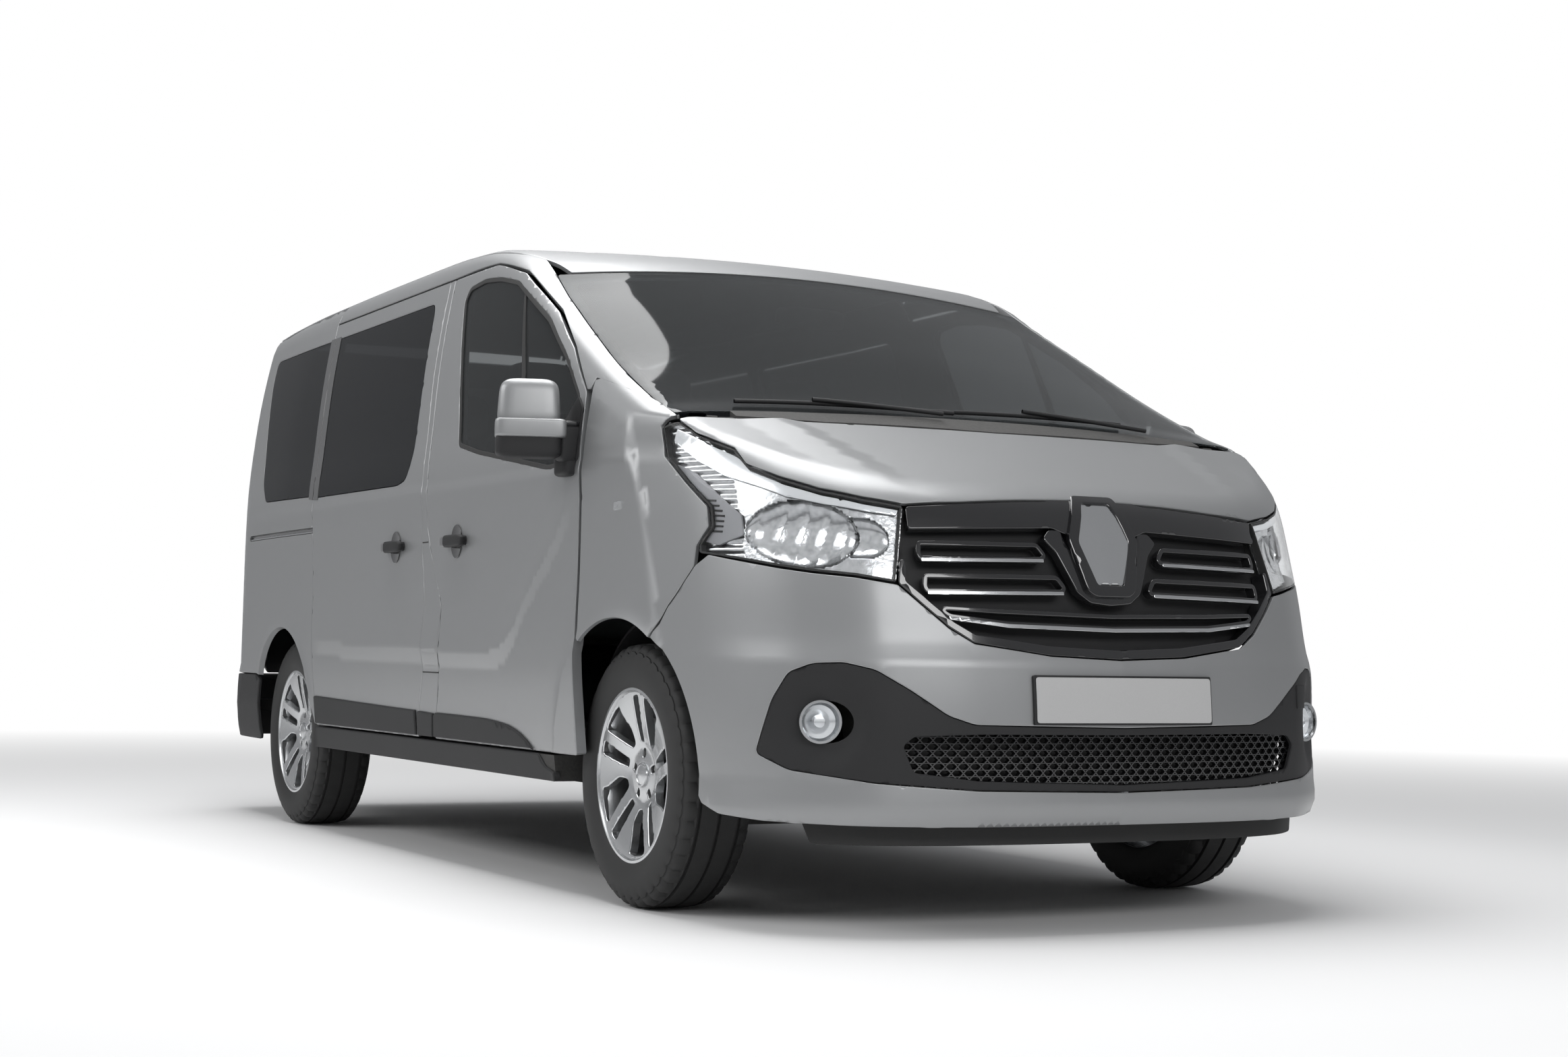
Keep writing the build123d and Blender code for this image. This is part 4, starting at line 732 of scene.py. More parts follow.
TAIL_WINDOW = softened([(-700, 1275), (700, 1275), (655, 1785), (-655, 1785)], 40)
tail_outline = softened([(-801, 575), (801, 575), (801, 1888), (-801, 1888)], 18)


def on_tailgate(uv):
    """Places on the tailgate, with the plate recess and a fold above it."""
    p = on_tail(uv)
    x, z = np.abs(uv[:, 0]), uv[:, 1]
    recess = np.clip((330 - x) / 25, 0, 1) * np.clip((150 - np.abs(z - 960)) / 25, 0, 1)
    p[:, 1] -= 16 * recess
    p[:, 1] += 5 * np.clip(1 - np.abs(z - 1180) / 60, 0, 1)
    return p


tailgate = panel("tailgate_skin", tail_outline, on_tailgate, paint, "tailgate", depth=34,
    holes=[TAIL_WINDOW])
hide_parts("tailgate")

# ---- Glass ----
# Windscreen and front door panes are lightly tinted; the rear panes are dark privacy glass.
# A black fired border hides the bonding round the windscreen.


def glazing(name, colour, through_light):
    """A glass that lets light straight through, tinted, with a faintly uneven polish."""
    material, bsdf, nodes, links = shader(name)
    haze = nodes.new("ShaderNodeGroup")
    haze.node_tree = fine_grain
    dial(haze, Scale=4.0, Relief=0.0, Base_Roughness=0.02, Spread=0.02)
    links.new(haze.outputs["Roughness"], bsdf.inputs["Roughness"])
    dial(bsdf, Base_Color=(*colour, 1), Transmission_Weight=through_light, IOR=1.14,
        Specular_IOR_Level=0.18)
    return material


screen_glass = glazing("screen_glass", (0.16, 0.17, 0.175), 0.92)
dark_glass = glazing("dark_glass", (0.035, 0.037, 0.04), 0.55)
lamp_glass = glazing("lamp_lens", (0.93, 0.94, 0.95), 1.0)
SCREEN = [(-float(screen_reach(y)) + 14, y) for y in (-745, -900, -1100, -1350, -1600, -1770)]
SCREEN += [(-450, -1793), (0, -1799), (450, -1793)] + [(-x, y) for x, y in SCREEN[::-1]]
screen_outline = softened(SCREEN, 12)
windscreen = panel("windscreen_pane", screen_outline, on_top, screen_glass, "body", depth=5,
    grid=28, edge=0.5, sunk=3)
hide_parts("windscreen")
border_inside = softened([(x * 0.955, -790 - (-790 - y) * 0.965 if y < -790 else -800) for x,
    y in SCREEN], 40)
screen_border = panel("windscreen_border", drawn_in(screen_outline, 2), on_top, gloss_black, "body",
    depth=1.0, edge=0, sunk=8.6, holes=[border_inside], grid=40)

for side, word in SIDES:
    pane = panel("front_door_pane_" + word, drawn_in(softened(DOOR_WINDOW, 20), 1.0),
        on_side(side, side_shape), screen_glass, "front_door_" + word, depth=4, edge=0.4, sunk=5)
    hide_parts("door_glass_" + word)
    divider = [(-695, 1738), (-680, 1742), (-786, 1465), (-800, 1215), (-830, 1210), (-814, 1470)]
    bar = panel("quarter_light_bar_" + word, softened(divider, 4), on_side(side, side_shape),
        rubber, "front_door_" + word, depth=14, edge=1.5, sunk=2)
    sealing = panel("front_window_seal_" + word, drawn_in(softened(DOOR_WINDOW, 20), -1.0),
        on_side(side, side_shape), rubber, "front_door_" + word, depth=12, edge=1.5, sunk=1.0,
        holes=[drawn_in(softened(DOOR_WINDOW, 20), 13)])

for name, hole, lift in (("sliding_door_pane", SLIDER_WINDOW, right_lift),
        ("quarter_pane_right", QUARTER_WINDOW, right_lift), ("side_pane_left", SLIDER_WINDOW,
        left_lift), ("quarter_pane_left", QUARTER_WINDOW, left_lift)):
    pane = panel(name, drawn_in(softened(hole, 30), 3.0), lift, dark_glass, "body", depth=5,
        edge=1.0, sunk=1.0)
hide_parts("side_windows")
for side, word in SIDES:
    lift = on_side(side, side_shape)
    for part, line in (("front", [(1116, 1195), (1172, 1197), (1238, 1806), (1180, 1806)]),
            ("rear", [(1180, 1199), (1232, 1203), (1300, 1806), (1245, 1806)])):
        band = panel(f"window_band_{part}_{word}", softened(line, 4), lift, gloss_black, "body",
            depth=3, edge=1, sunk=-1.5)
tail_pane = panel("tailgate_pane", drawn_in(TAIL_WINDOW, 3), on_tailgate, dark_glass, "tailgate",
    depth=5, edge=1.0, sunk=1.0)
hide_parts("tailgate_glass")

# ---- Front bumper ----
# A body-coloured moulded cover that wraps from wheel opening to wheel opening, with a
# black insert for the fog lamps and the lower grille, and a flared lip underneath.

NOSE = (0.0, -1769.0)
bumper_lift = round_corner(NOSE)


def to_bumper(points):
    return turned(points, NOSE)


def both_ways(pairs):
    """Points given for the left half, with their mirror images, from right to left."""
    pairs = list(pairs)
    return [(-x, z) for x, z in pairs[::-1] if x > 0] + pairs


def lip_shape(uv):
    """The bumper's skin with its flared lower lip."""
    p = bumper_lift(uv)
    push = 10 * np.clip(1 - np.abs(uv[:, 1] - 300) / 70, 0, 1)
    return p + push[:, None] * away_from(p, NOSE)


GRILLE_LOW = [(0, 664), (200, 672), (400, 699), (460, 735), (517, 787), (570, 838)]
LAMP_LOW = [(660, 854), (740, 864), (800, 876)]
front_half = np.concatenate((nose_points(GRILLE_LOW + LAMP_LOW),
    side_points(1, [(-1990, 910), (-1943, 884), (-1870, 811), (-1836, 782), (-1784, 716)]
    + arch(FRONT_ARCH, 61, -4) + [(-2000, 300), (-2060, 278)]),
    nose_points([(830, 268), (700, 264), (400, 262), (0, 262)])))
INSERT = [(0, 500), (415, 507), (480, 528), (570, 590), (640, 635), (700, 652), (756, 649),
    (800, 626), (828, 560), (852, 430), (800, 392), (644, 366), (400, 349), (0, 342)]
insert_full = to_bumper(whole(nose_points(INSERT)))
bumper = panel("front_bumper_cover", softened(to_bumper(whole(front_half)), 5, 25), lip_shape,
    paint, "body", depth=10, grid=26, holes=[softened(insert_full, 16)])
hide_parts("front_bumper")

FOG = (742.0, 508.0)


def insert_shape(uv):
    """The black insert's skin, sunk round each fog lamp."""
    p = bumper_lift(uv)
    away = np.hypot(1.35 * (np.abs(p[:, 0]) - FOG[0]), p[:, 2] - FOG[1])
    depth = 26 * np.exp(-(away / 95) ** 4)
    return p - depth[:, None] * away_from(p, NOSE)


MESH_HALF = [(0, 482), (395, 484), (560, 478), (585, 455), (560, 392), (400, 372), (0, 360)]
mesh_full = softened(to_bumper(whole(nose_points(MESH_HALF))), 10)
fog_holes = [to_bumper(nose_points([(side * (FOG[0] + 50 * math.cos(t)), FOG[1] + 50 * math.sin(t))
    for t in np.linspace(0, 2 * math.pi, 28, endpoint=False)])) for side in (-1, 1)]
insert = panel("lower_face", drawn_in(softened(insert_full, 16), 2), insert_shape, black_plastic,
    "body", depth=9, grid=22, sunk=2, holes=[mesh_full] + fog_holes)

# ---- Lower grille mesh and fog lamps ----
# A moulded honeycomb behind the opening, and two round glass lamps in chromed bowls.


def strung(form, rings):
    """Faces from each ring of corners to the next."""
    for low, high in zip(rings, rings[1:]):
        for i in range(len(low)):
            after = (i + 1) % len(low)
            form.faces.new((low[i], low[after], high[after], high[i]))


def moulded(name, form, material, body, sharp=None, move=None):
    """A smooth object from a form: its faces are turned outwards before it's moved to its place."""
    bmesh.ops.recalc_face_normals(form, faces=form.faces)
    if move is not None:
        form.transform(move)
    mesh = bpy.data.meshes.new(name)
    form.to_mesh(mesh)
    form.free()
    mesh.polygons.foreach_set("use_smooth", [True] * len(mesh.polygons))
    if sharp is not None:
        mesh.set_sharp_from_angle(angle=math.radians(sharp))
    mesh.materials.append(material)
    return placed(name, mesh, body)


cells = bmesh.new()
CELL = 30.0
for row in range(-1, 9):
    for column in range(-24, 25):
        centre = np.array((column * CELL + (CELL / 2 if row % 2 else 0), 360 + row * CELL * 0.52))
        if abs(centre[0]) > 590 or not 352 < centre[1] < 490:
            continue
        hexagon = [(math.cos(t), 0.62 * math.sin(t)) for t in np.radians(np.arange(0, 360, 60))]
        rings = []
        for radius, back in ((0.57 * CELL, 16), (0.57 * CELL, 30), (0.44 * CELL, 30),
                (0.44 * CELL, 16)):
            flat = nose_points([centre + radius * np.array(h) for h in hexagon])
            flat[:, 1] += back
            rings.append([cells.verts.new(p / 1000) for p in flat])
        strung(cells, rings + rings[:1])
bmesh.ops.recalc_face_normals(cells, faces=cells.faces)
mesh = bpy.data.meshes.new("lower_grille_mesh")
cells.to_mesh(mesh)
cells.free()
mesh.materials.append(gloss_black)
honeycomb = placed("lower_grille_mesh", mesh, "body")
dark_well = panel("lower_grille_well", drawn_in(mesh_full, -6), bumper_lift, rubber, "body",
    depth=4, sunk=46, edge=0)


def turned_piece(name, rings, place, facing_way, material, body, turns=40, capped=True):
    """A lathe-turned piece: (radius, height) rings about an axis, in millimetres."""
    facing_way = Vector(facing_way).normalized()
    frame_turn = facing_way.to_track_quat("Z", "Y").to_matrix().to_4x4()
    shape = bmesh.new()
    grid = []
    for radius, height in rings:
        grid.append([shape.verts.new((radius * math.cos(t) / 1000, radius * math.sin(t) / 1000,
            height / 1000)) for t in np.linspace(0, 2 * math.pi, turns, endpoint=False)])
    strung(shape, grid)
    for end in (grid[0], grid[-1]) if capped else ():
        shape.faces.new(end)
    bmesh.ops.remove_doubles(shape, verts=shape.verts, dist=1e-6)
    move = Matrix.Translation(Vector(place) / 1000) @ frame_turn
    return moulded(name, shape, material, body, 40, move)


for side, word in SIDES:
    seat_point = nose_points([(side * FOG[0], FOG[1])])[0]
    way = (side * 0.30, -1, 0)
    inward = np.array(way) / np.linalg.norm(way)
    bowl = turned_piece("fog_lamp_bowl_" + word, [(48, -30), (52, -18), (52, 4), (46, 4), (40, -14),
        (16, -27), (14, -8), (9, -6), (0.5, -6)], seat_point - 22 * inward, way, bright, "body")
    glass = turned_piece("fog_lamp_glass_" + word, [(0.5, 1), (30, 0), (45, -3), (45, -6), (30, -3),
        (0.5, -2)], seat_point - 20 * inward, way, lamp_glass, "body")

# ---- Upper grille ----
# A dark moulded grille between the lamps: a gloss strip across the top, a tall six-sided
# surround in the middle, and slats whose lower edges carry a thin bright line.


def nose_panel(name, pairs, material, depth, sunk, radius=8, holes=(), edge=2.0, grid=26,
        swell=0.0):
    """A panel given as (x, z) on the nose, moved straight back by a distance."""
    ends = np.array(pairs, float)

    def lift(uv):
        p = on_nose(uv)
        p[:, 1] += sunk
        if swell:
            p[:, 1] -= swell * np.clip(1 - (np.abs(uv[:, 1] - ends[:, 1].mean())
                / (0.5 * np.ptp(ends[:, 1]))) ** 2, 0, 1)
        return p
    return panel(name, softened(pairs, radius), lift, material, "body", depth=depth, holes=holes,
        edge=edge, grid=grid)


GRILLE_TOP = [(528, 1032), (380, 1043), (200, 1055), (150, 1057)]
grille_outline = [(x, z + 3) for x,
    z in GRILLE_LOW[:-1]] + [(568, 842), (524, 1032)] + GRILLE_TOP[1:] + [(0, 1060)]
grille_outline = both_ways(grille_outline)
grille_back = nose_panel("grille_back", grille_outline, black_plastic, 8, 52, edge=0)
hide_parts("grille")
strip = both_ways([(0, 960), (110, 978), (140, 990), (526, 975), (524, 1031)] + GRILLE_TOP[1:]
    + [(130, 1062), (105, 1072), (0, 1076)])
top_strip = nose_panel("grille_top_strip", strip, gloss_black, 30, 3, radius=8, edge=3)
surround = [(-62, 1078), (62, 1078), (104, 965), (72, 836), (50, 822), (-50, 822), (-72, 836),
    (-104, 965)]
hollow = [(-42, 1058), (42, 1058), (76, 958), (40, 850), (-40, 850), (-76, 958)]
badge_frame = nose_panel("grille_centre_surround", surround, gloss_black, 34, -8, radius=12, edge=3,
    holes=[softened(hollow, 10)])
badge_plate = nose_panel("grille_centre_plate", drawn_in(np.array(hollow, float), -1), bright, 8, 0,
    radius=10, edge=2, swell=4)
collar = both_ways([(0, 800), (60, 806), (96, 832), (140, 930), (170, 962), (150, 985), (118, 985),
    (96, 930), (66, 840), (44, 826), (0, 822)])
grille_collar = nose_panel("grille_collar", collar, gloss_black, 26, 6, radius=8, edge=3)
for side, word in SIDES:
    for number, (low, inner, outer, tall) in enumerate(((902, 176, 505, 46), (822, 132, 500, 46))):
        slat = [(side * inner, low + 4), (side * outer, low - 2), (side * (outer + 8), low + 14),
            (side * (outer + 2), low + tall), (side * (inner + 12), low + tall + 4),
            (side * (inner - 10), low + 20)]
        slat_hole = drawn_in(softened(slat, 10), 11)
        bar = nose_panel(f"grille_slat_{word}_{number}", slat, gloss_black, 26, 10, radius=12,
            edge=2.5, holes=[slat_hole])
        line = [(side * (inner + 4), low + 1), (side * outer, low - 5), (side * outer, low + 3),
            (side * (inner + 4), low + 9)]
        glint = nose_panel(f"grille_line_{word}_{number}", line, bright, 8, 5, radius=3, edge=1)
slat = both_ways([(0, 738), (300, 745), (452, 762), (470, 776), (462, 790), (300, 784), (0, 778)])
bar = nose_panel("grille_slat_low", slat, gloss_black, 26, 10, radius=10, edge=2.5,
    holes=[drawn_in(softened(slat, 10), 10)])
line = both_ways([(0, 734), (300, 740), (452, 757), (455, 765), (300, 749), (0, 743)])
glint = nose_panel("grille_line_low", line, bright, 8, 5, radius=3, edge=1)
frame_band = both_ways([(0, 668), (200, 676), (400, 703), (458, 739), (514, 790), (566, 842),
    (556, 900), (544, 900), (548, 848), (498, 800), (444, 752), (392, 722), (200, 698), (0, 690)])
rim_band = nose_panel("grille_rim", frame_band, gloss_black, 40, 4, radius=6, edge=3)

# ---- Number plate ----
# A blank pressed plate in a thin black holder, fixed to the middle of the bumper.

plate_box = [(-260, 512), (260, 512), (260, 622), (-260, 622)]
holder = nose_panel("plate_holder", [(-265, 507), (265, 507), (265, 627), (-265, 627)],
    black_plastic, 14, -10, radius=5, edge=1.5, grid=60)
plate_paint = finish("plate_white", (0.42, 0.42, 0.42), (0.46, 0.46, 0.46), 0.4, scale=300.0,
    relief=0.05)
plate = nose_panel("number_plate_front", plate_box, plate_paint, 2, -13, radius=8, edge=0.8,
    grid=60)

# ---- Headlamps ----
# A clear lens over a chromed bowl for the bulbs, a long chrome strip above it and a
# grey ribbed insert at the outer corner.

lamp_grey = finish("lamp_grey", (0.20, 0.20, 0.21), (0.26, 0.26, 0.27), 0.35, 0.2, 400.0, 0.1)
reflector = finish("lamp_chrome", (0.30, 0.305, 0.31), (0.62, 0.625, 0.63), 0.16, 1.0, 60.0, 0.9)
BULB_X, BULB_Z, BULB_REACH = 745.0, 960.0, 100.0
SECOND_X, SECOND_Z, SECOND_REACH = 640.0, 950.0, 62.0
RIB_LOW, RIB_STEP, RIB_COUNT = 968, 13, 7
for side, word in SIDES:
    lamp_lift, lamp_place = facing((side * 420, -1650, 850), (side * 0.75, -0.75, 0.15))
    front_top = [(side * 533, 1033), (side * 620, 1048), (side * 700, 1069), (side * 770, 1100),
        (side * 818, 1132)]
    low = [(side * 800, 882), (side * 740, 870), (side * 660, 860), (side * 574, 845)]
    lamp_rim = np.concatenate((nose_points(front_top),
        side_points(side, [(-1993, 1176), (-1884, 1217), (-1812, 1255), (-1764, 1247)]),
        side_points(side, [(-1754, 1240), (-1784, 1163), (-1886, 1091), (-1976, 1029), (-1989, 981),
        (-1952, 937), (-1958, 915)]), nose_points(low)))
    flat_rim = softened(lamp_place(lamp_rim), 8, 25)
    lens_piece = panel("headlamp_lens_" + word, drawn_in(flat_rim, 2), lamp_lift, lamp_glass,
        "body", depth=3, edge=1.0, sunk=1, grid=40)
    if side == 1:
        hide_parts("headlamps")

    def bowl_lift(uv, lamp_lift=lamp_lift, side=side):
        p = lamp_lift(uv)
        away = np.hypot(np.abs(p[:, 0]) - BULB_X, 1.15 * (p[:, 2] - BULB_Z))
        depth = 26 + 44 * np.clip(1 - (away / BULB_REACH) ** 2, 0, 1) ** 0.5
        second = np.hypot(np.abs(p[:, 0]) - SECOND_X, 1.2 * (p[:, 2] - SECOND_Z))
        depth += 30 * np.clip(1 - (second / SECOND_REACH) ** 2, 0, 1) ** 0.5 * (away > 95)
        flute = 2.5 * np.sin(p[:, 2] / 4.0) * (np.abs(p[:, 0]) > 850)
        flute += 5.0 * np.abs(np.sin(np.abs(p[:, 0]) / 13.0 + p[:, 2] / 40)) * (away < 95)
        inward = np.array((side * 0.6, -0.8, 0.0))
        return p - (depth + flute)[:, None] * inward

    bowl = panel("headlamp_bowl_" + word, drawn_in(flat_rim, 4), bowl_lift, reflector, "body",
        depth=4, edge=0, grid=7)
    wall = panel("headlamp_wall_" + word, drawn_in(flat_rim, 1), lamp_lift, rubber, "body",
        depth=60, edge=0.5, sunk=4, grid=40, holes=[drawn_in(flat_rim, 10)])
    strip_rim = np.concatenate((nose_points([(side * 540, 1026), (side * 620, 1040),
        (side * 700, 1060), (side * 770, 1090)]), side_points(side, [(-1995, 1166), (-1886, 1207),
        (-1800, 1238), (-1790, 1205), (-1900, 1150), (-1990, 1112)]),
        nose_points([(side * 770, 1058), (side * 700, 1038), (side * 620, 1022),
        (side * 548, 1012)])))
    light_strip = panel("headlamp_strip_" + word, softened(lamp_place(strip_rim), 8, 20), lamp_lift,
        bright, "body", depth=8, edge=3, sunk=14, grid=25)
    corner_rim = side_points(side, [(-1800, 1150), (-1890, 1085), (-1975, 1025), (-1984, 985),
        (-1960, 945), (-2010, 935), (-2075, 960), (-2060, 1010), (-1990, 1060), (-1900, 1120)])
    corner_piece = panel("headlamp_corner_" + word, softened(lamp_place(corner_rim), 8, 20),
        lamp_lift, lamp_grey, "body", depth=8, edge=2, sunk=12, grid=20)
    for number in range(RIB_COUNT):
        z = RIB_LOW + number * RIB_STEP
        y = -1966 + max(0, z - 1010) * 0.9
        slot_rim = side_points(side, [(y - 4, z), (y - 52, z - 2), (y - 52, z + 3), (y - 4, z + 5)])
        rib = panel(f"headlamp_rib_{word}_{number}", softened(lamp_place(slot_rim), 2, 15),
            lamp_lift, rubber, "body", depth=3, edge=0.6, sunk=10.5, grid=20)

# ---- Towing eye cover and lower tray ----
# A square cap snaps over the towing eye's hole, and a soft black deflector hangs under the lip.

eye_cover = panel("towing_eye_cover",
    softened(to_bumper(nose_points([(610, 546), (670, 546), (668, 606), (612, 606)])), 6),
    insert_shape, black_plastic, "body", depth=4, edge=2, sunk=-1.2, grid=16)


def tray_shape(uv):
    """An upright strip set back under the bumper's lip."""
    return on_nose(np.stack((uv[:, 0], 0 * uv[:, 1] + 300), axis=1)) + columns(0 * uv[:, 0], 78.0,
        uv[:, 1] - 300)


tray = panel("lower_deflector", softened([(-730, 214), (730, 214), (752, 286), (-752, 286)], 10),
    tray_shape, rubber, "body", depth=8, edge=2)
belly = panel("nose_undertray", softened([(-752, -2040), (-730, -2160), (-560, -2240),
    (-300, -2290), (300, -2290), (560, -2240), (730, -2160), (752, -2040), (470, -1960),
    (-470, -1960)], 10), lambda uv: columns(uv[:, 0], uv[:, 1], 268.0), underseal, "body", depth=6,
    edge=1, flip=-1.0, grid=90)

# ---- Wheels ----
# Pressed 17-inch alloy wheels with five pairs of spokes and five bolt recesses round a
# plain cap, in road tyres with three grooves and cut shoulders.

alloy = finish("wheel_alloy", (0.50, 0.51, 0.52), (0.60, 0.61, 0.62), 0.24, 0.9, 1800.0, 0.08,
    Coat_Weight=0.6)
tyre_rubber = finish("tyre_rubber", (0.011, 0.011, 0.011), (0.022, 0.022, 0.022), 0.62, scale=500.0,
    relief=0.35)
disc_steel = finish("brake_steel", (0.22, 0.22, 0.22), (0.30, 0.29, 0.28), 0.4, 1.0, 200.0, 0.2)
TYRE_PROFILE = [(-98, 231), (-102, 240), (-107, 262), (-108, 285), (-104, 308), (-98, 322),
    (-95, 323), (-92, 331), (-84, 340), (-66, 343.5), (-62, 343.8), (-60, 336), (-53, 336),
    (-51, 344.3), (-28, 344.9), (-5, 345), (-3, 337), (3, 337), (5, 345), (28, 344.9), (51, 344.3),
    (53, 336), (60, 336), (62, 343.8), (66, 343.5), (84, 340), (92, 331), (95, 323), (98, 322),
    (104, 308), (108, 285), (107, 262), (102, 240), (98, 231), (94, 226), (60, 236), (-60, 236),
    (-94, 226)]
SEGMENTS, TYRE_RADIUS = 168, 345.0
SPOKE_PAIRS, SPOKE_TURN, FACE_RADIUS, NUT_CIRCLE = 5, 72, 219, 57
FRONT_AXLE, REAR_AXLE, FRONT_TRACK, REAR_TRACK = -1566.5, 1531.5, 807.5, 814.0
disc_dish = through((0, 60), (34, 62), (70, 60), (90, 66), (150, 80), (200, 89), (222, 92))


def road_wheel(side, track, axle_y, body, end):
    """One tyre, its rim with spokes, barrel and cap, the brake disc and the nuts."""
    centre = np.array((side * track, axle_y, TYRE_RADIUS))
    shape = bmesh.new()
    turns = np.linspace(0, 2 * math.pi, SEGMENTS, endpoint=False)
    grid = []
    for number, turn in enumerate(turns):
        ring = []
        for x, radius in TYRE_PROFILE:
            step = (number + (2 if x > 0 else 0)) % 4
            if radius > 321 and abs(x) > 63 and step == 0:
                radius -= 7 if abs(x) > 80 else 8
            if 5 < abs(x) < 51 and radius > 344 and (number + int(abs(x) / 9)) % 6 == 0:
                radius -= 3
            ring.append(shape.verts.new(((centre[0] + x) / 1000,
                (centre[1] + radius * math.cos(turn)) / 1000, (centre[2] + radius * math.sin(turn))
                / 1000)))
        grid.append(ring)
    strung(shape, grid + grid[:1])
    tyre = moulded("road_tyre_" + end, shape, tyre_rubber, body, 38)
    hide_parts("tyre_" + end)

    def face(uv):
        """The dished front of the wheel, from (y, z) about its centre."""
        radius = np.hypot(uv[:, 0], uv[:, 1])
        return columns(centre[0] + side * disc_dish(radius), centre[1] + uv[:, 0],
            centre[2] + uv[:, 1])

    def sector(pairs, number):
        """Places given along and beside a spoke pair, turned to that pair."""
        a = math.radians(90 + SPOKE_TURN * number)
        return [(-side * (y * math.cos(a) - x * math.sin(a)), y * math.sin(a) + x * math.cos(a))
            for x, y in pairs]

    def later(x, y):
        """A place given beside the next spoke pair, in the frame of this one."""
        turn = math.radians(SPOKE_TURN)
        return x * math.cos(turn) + y * math.sin(turn), y * math.cos(turn) - x * math.sin(turn)

    holes = []
    for k in range(SPOKE_PAIRS):
        window = [(46, 78), (50, 200), (62, 203), (90, 190), (118, 173), (124, 166),
            later(-104, 178), later(-93, 157), later(-50, 118), later(-42, 84), (56, 70)]
        holes.append(softened(sector(window, k), 9, 12))
        holes.append(softened(sector([(-11, 88), (-15, 150), (-17, 206), (4, 210), (20, 207),
            (16, 150), (12, 88)], k), 6, 12))
        holes.append(softened(sector([(-9, 46), (-10, 70), (10, 70), (9, 46)], k), 5, 8))
    disc = np.array([(FACE_RADIUS * math.cos(t), FACE_RADIUS * math.sin(t)) for t in np.linspace(0,
        2 * math.pi, 120, endpoint=False)])
    spokes = panel("wheel_spokes_" + end, disc, face, alloy, body, depth=24, holes=holes, grid=9,
        edge=3.0, flip=float(side))
    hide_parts("rim_" + end)
    barrel = turned_piece("wheel_barrel_" + end, [(216, 90), (222, 96), (229, 96), (230, 90),
        (222, 82), (214, 62), (213, -60), (222, -84), (229, -94), (226, -95), (208, -62), (207, 60),
        (212, 78), (216, 90)], centre, (side, 0, 0), alloy, body, 96, capped=False)
    cap = turned_piece("wheel_cap_" + end, [(33, 50), (33, 64), (30, 69), (27, 70), (25, 68),
        (14, 71), (0.5, 72)], centre, (side, 0, 0), alloy, body, 32)
    disc_piece = turned_piece("brake_disc_" + end, [(70, 20), (75, 30), (148, 30), (148, 8),
        (70, 8)], centre, (side, 0, 0), disc_steel, body, 64)
    for k in range(SPOKE_PAIRS):
        b = math.radians(90 + SPOKE_TURN * k)
        place = centre + np.array((0, -side * NUT_CIRCLE * math.cos(b), NUT_CIRCLE * math.sin(b)))
        nut = turned_piece(f"wheel_nut_{end}_{k}", [(8.5, 36), (8.5, 50), (6, 53), (0.5, 53)],
            place, (side, 0, 0), disc_steel, body, 6)


for row, track, axle in (("front", FRONT_TRACK, FRONT_AXLE), ("rear", REAR_TRACK, REAR_AXLE)):
    for side, word in SIDES:
        road_wheel(side, track, axle, f"wheel_{row}_{word}", f"{row}_{word}")

# ---- Door mirrors ----
# A body-coloured shell over a black lower housing, on a short arm from a black sail
# in the corner of the door window.


def pebble(name, centre, half, material, body, power=0.45, turn=None, second=None, split=None,
        rows=28, columns_round=40, shape_by=None):
    """A moulded rounded form: a box whose faces swell and whose corners are soft."""
    def swell(v):
        return math.copysign(abs(v) ** power, v)

    form = bmesh.new()
    grid = []
    for i in range(rows + 1):
        up_turn = -math.pi / 2 + math.pi * i / rows
        ring = []
        for k in range(columns_round):
            round_turn = 2 * math.pi * k / columns_round
            level, across, along = math.cos(up_turn), math.cos(round_turn), math.sin(round_turn)
            p = np.array((swell(level) * swell(across), swell(level) * swell(along),
                swell(math.sin(up_turn)))) * half
            if shape_by is not None:
                p = np.array(shape_by(p))
            if turn is not None:
                p = np.array(turn @ Vector(p))
            ring.append(form.verts.new((p + centre) / 1000))
        grid.append(ring)
    strung(form, grid)
    bmesh.ops.remove_doubles(form, verts=form.verts, dist=1e-5)
    piece = moulded(name, form, material, body)
    if second is not None:
        piece.data.materials.append(second)
        for polygon in piece.data.polygons:
            if split(np.array(polygon.center) * 1000):
                polygon.material_index = 1
    return piece


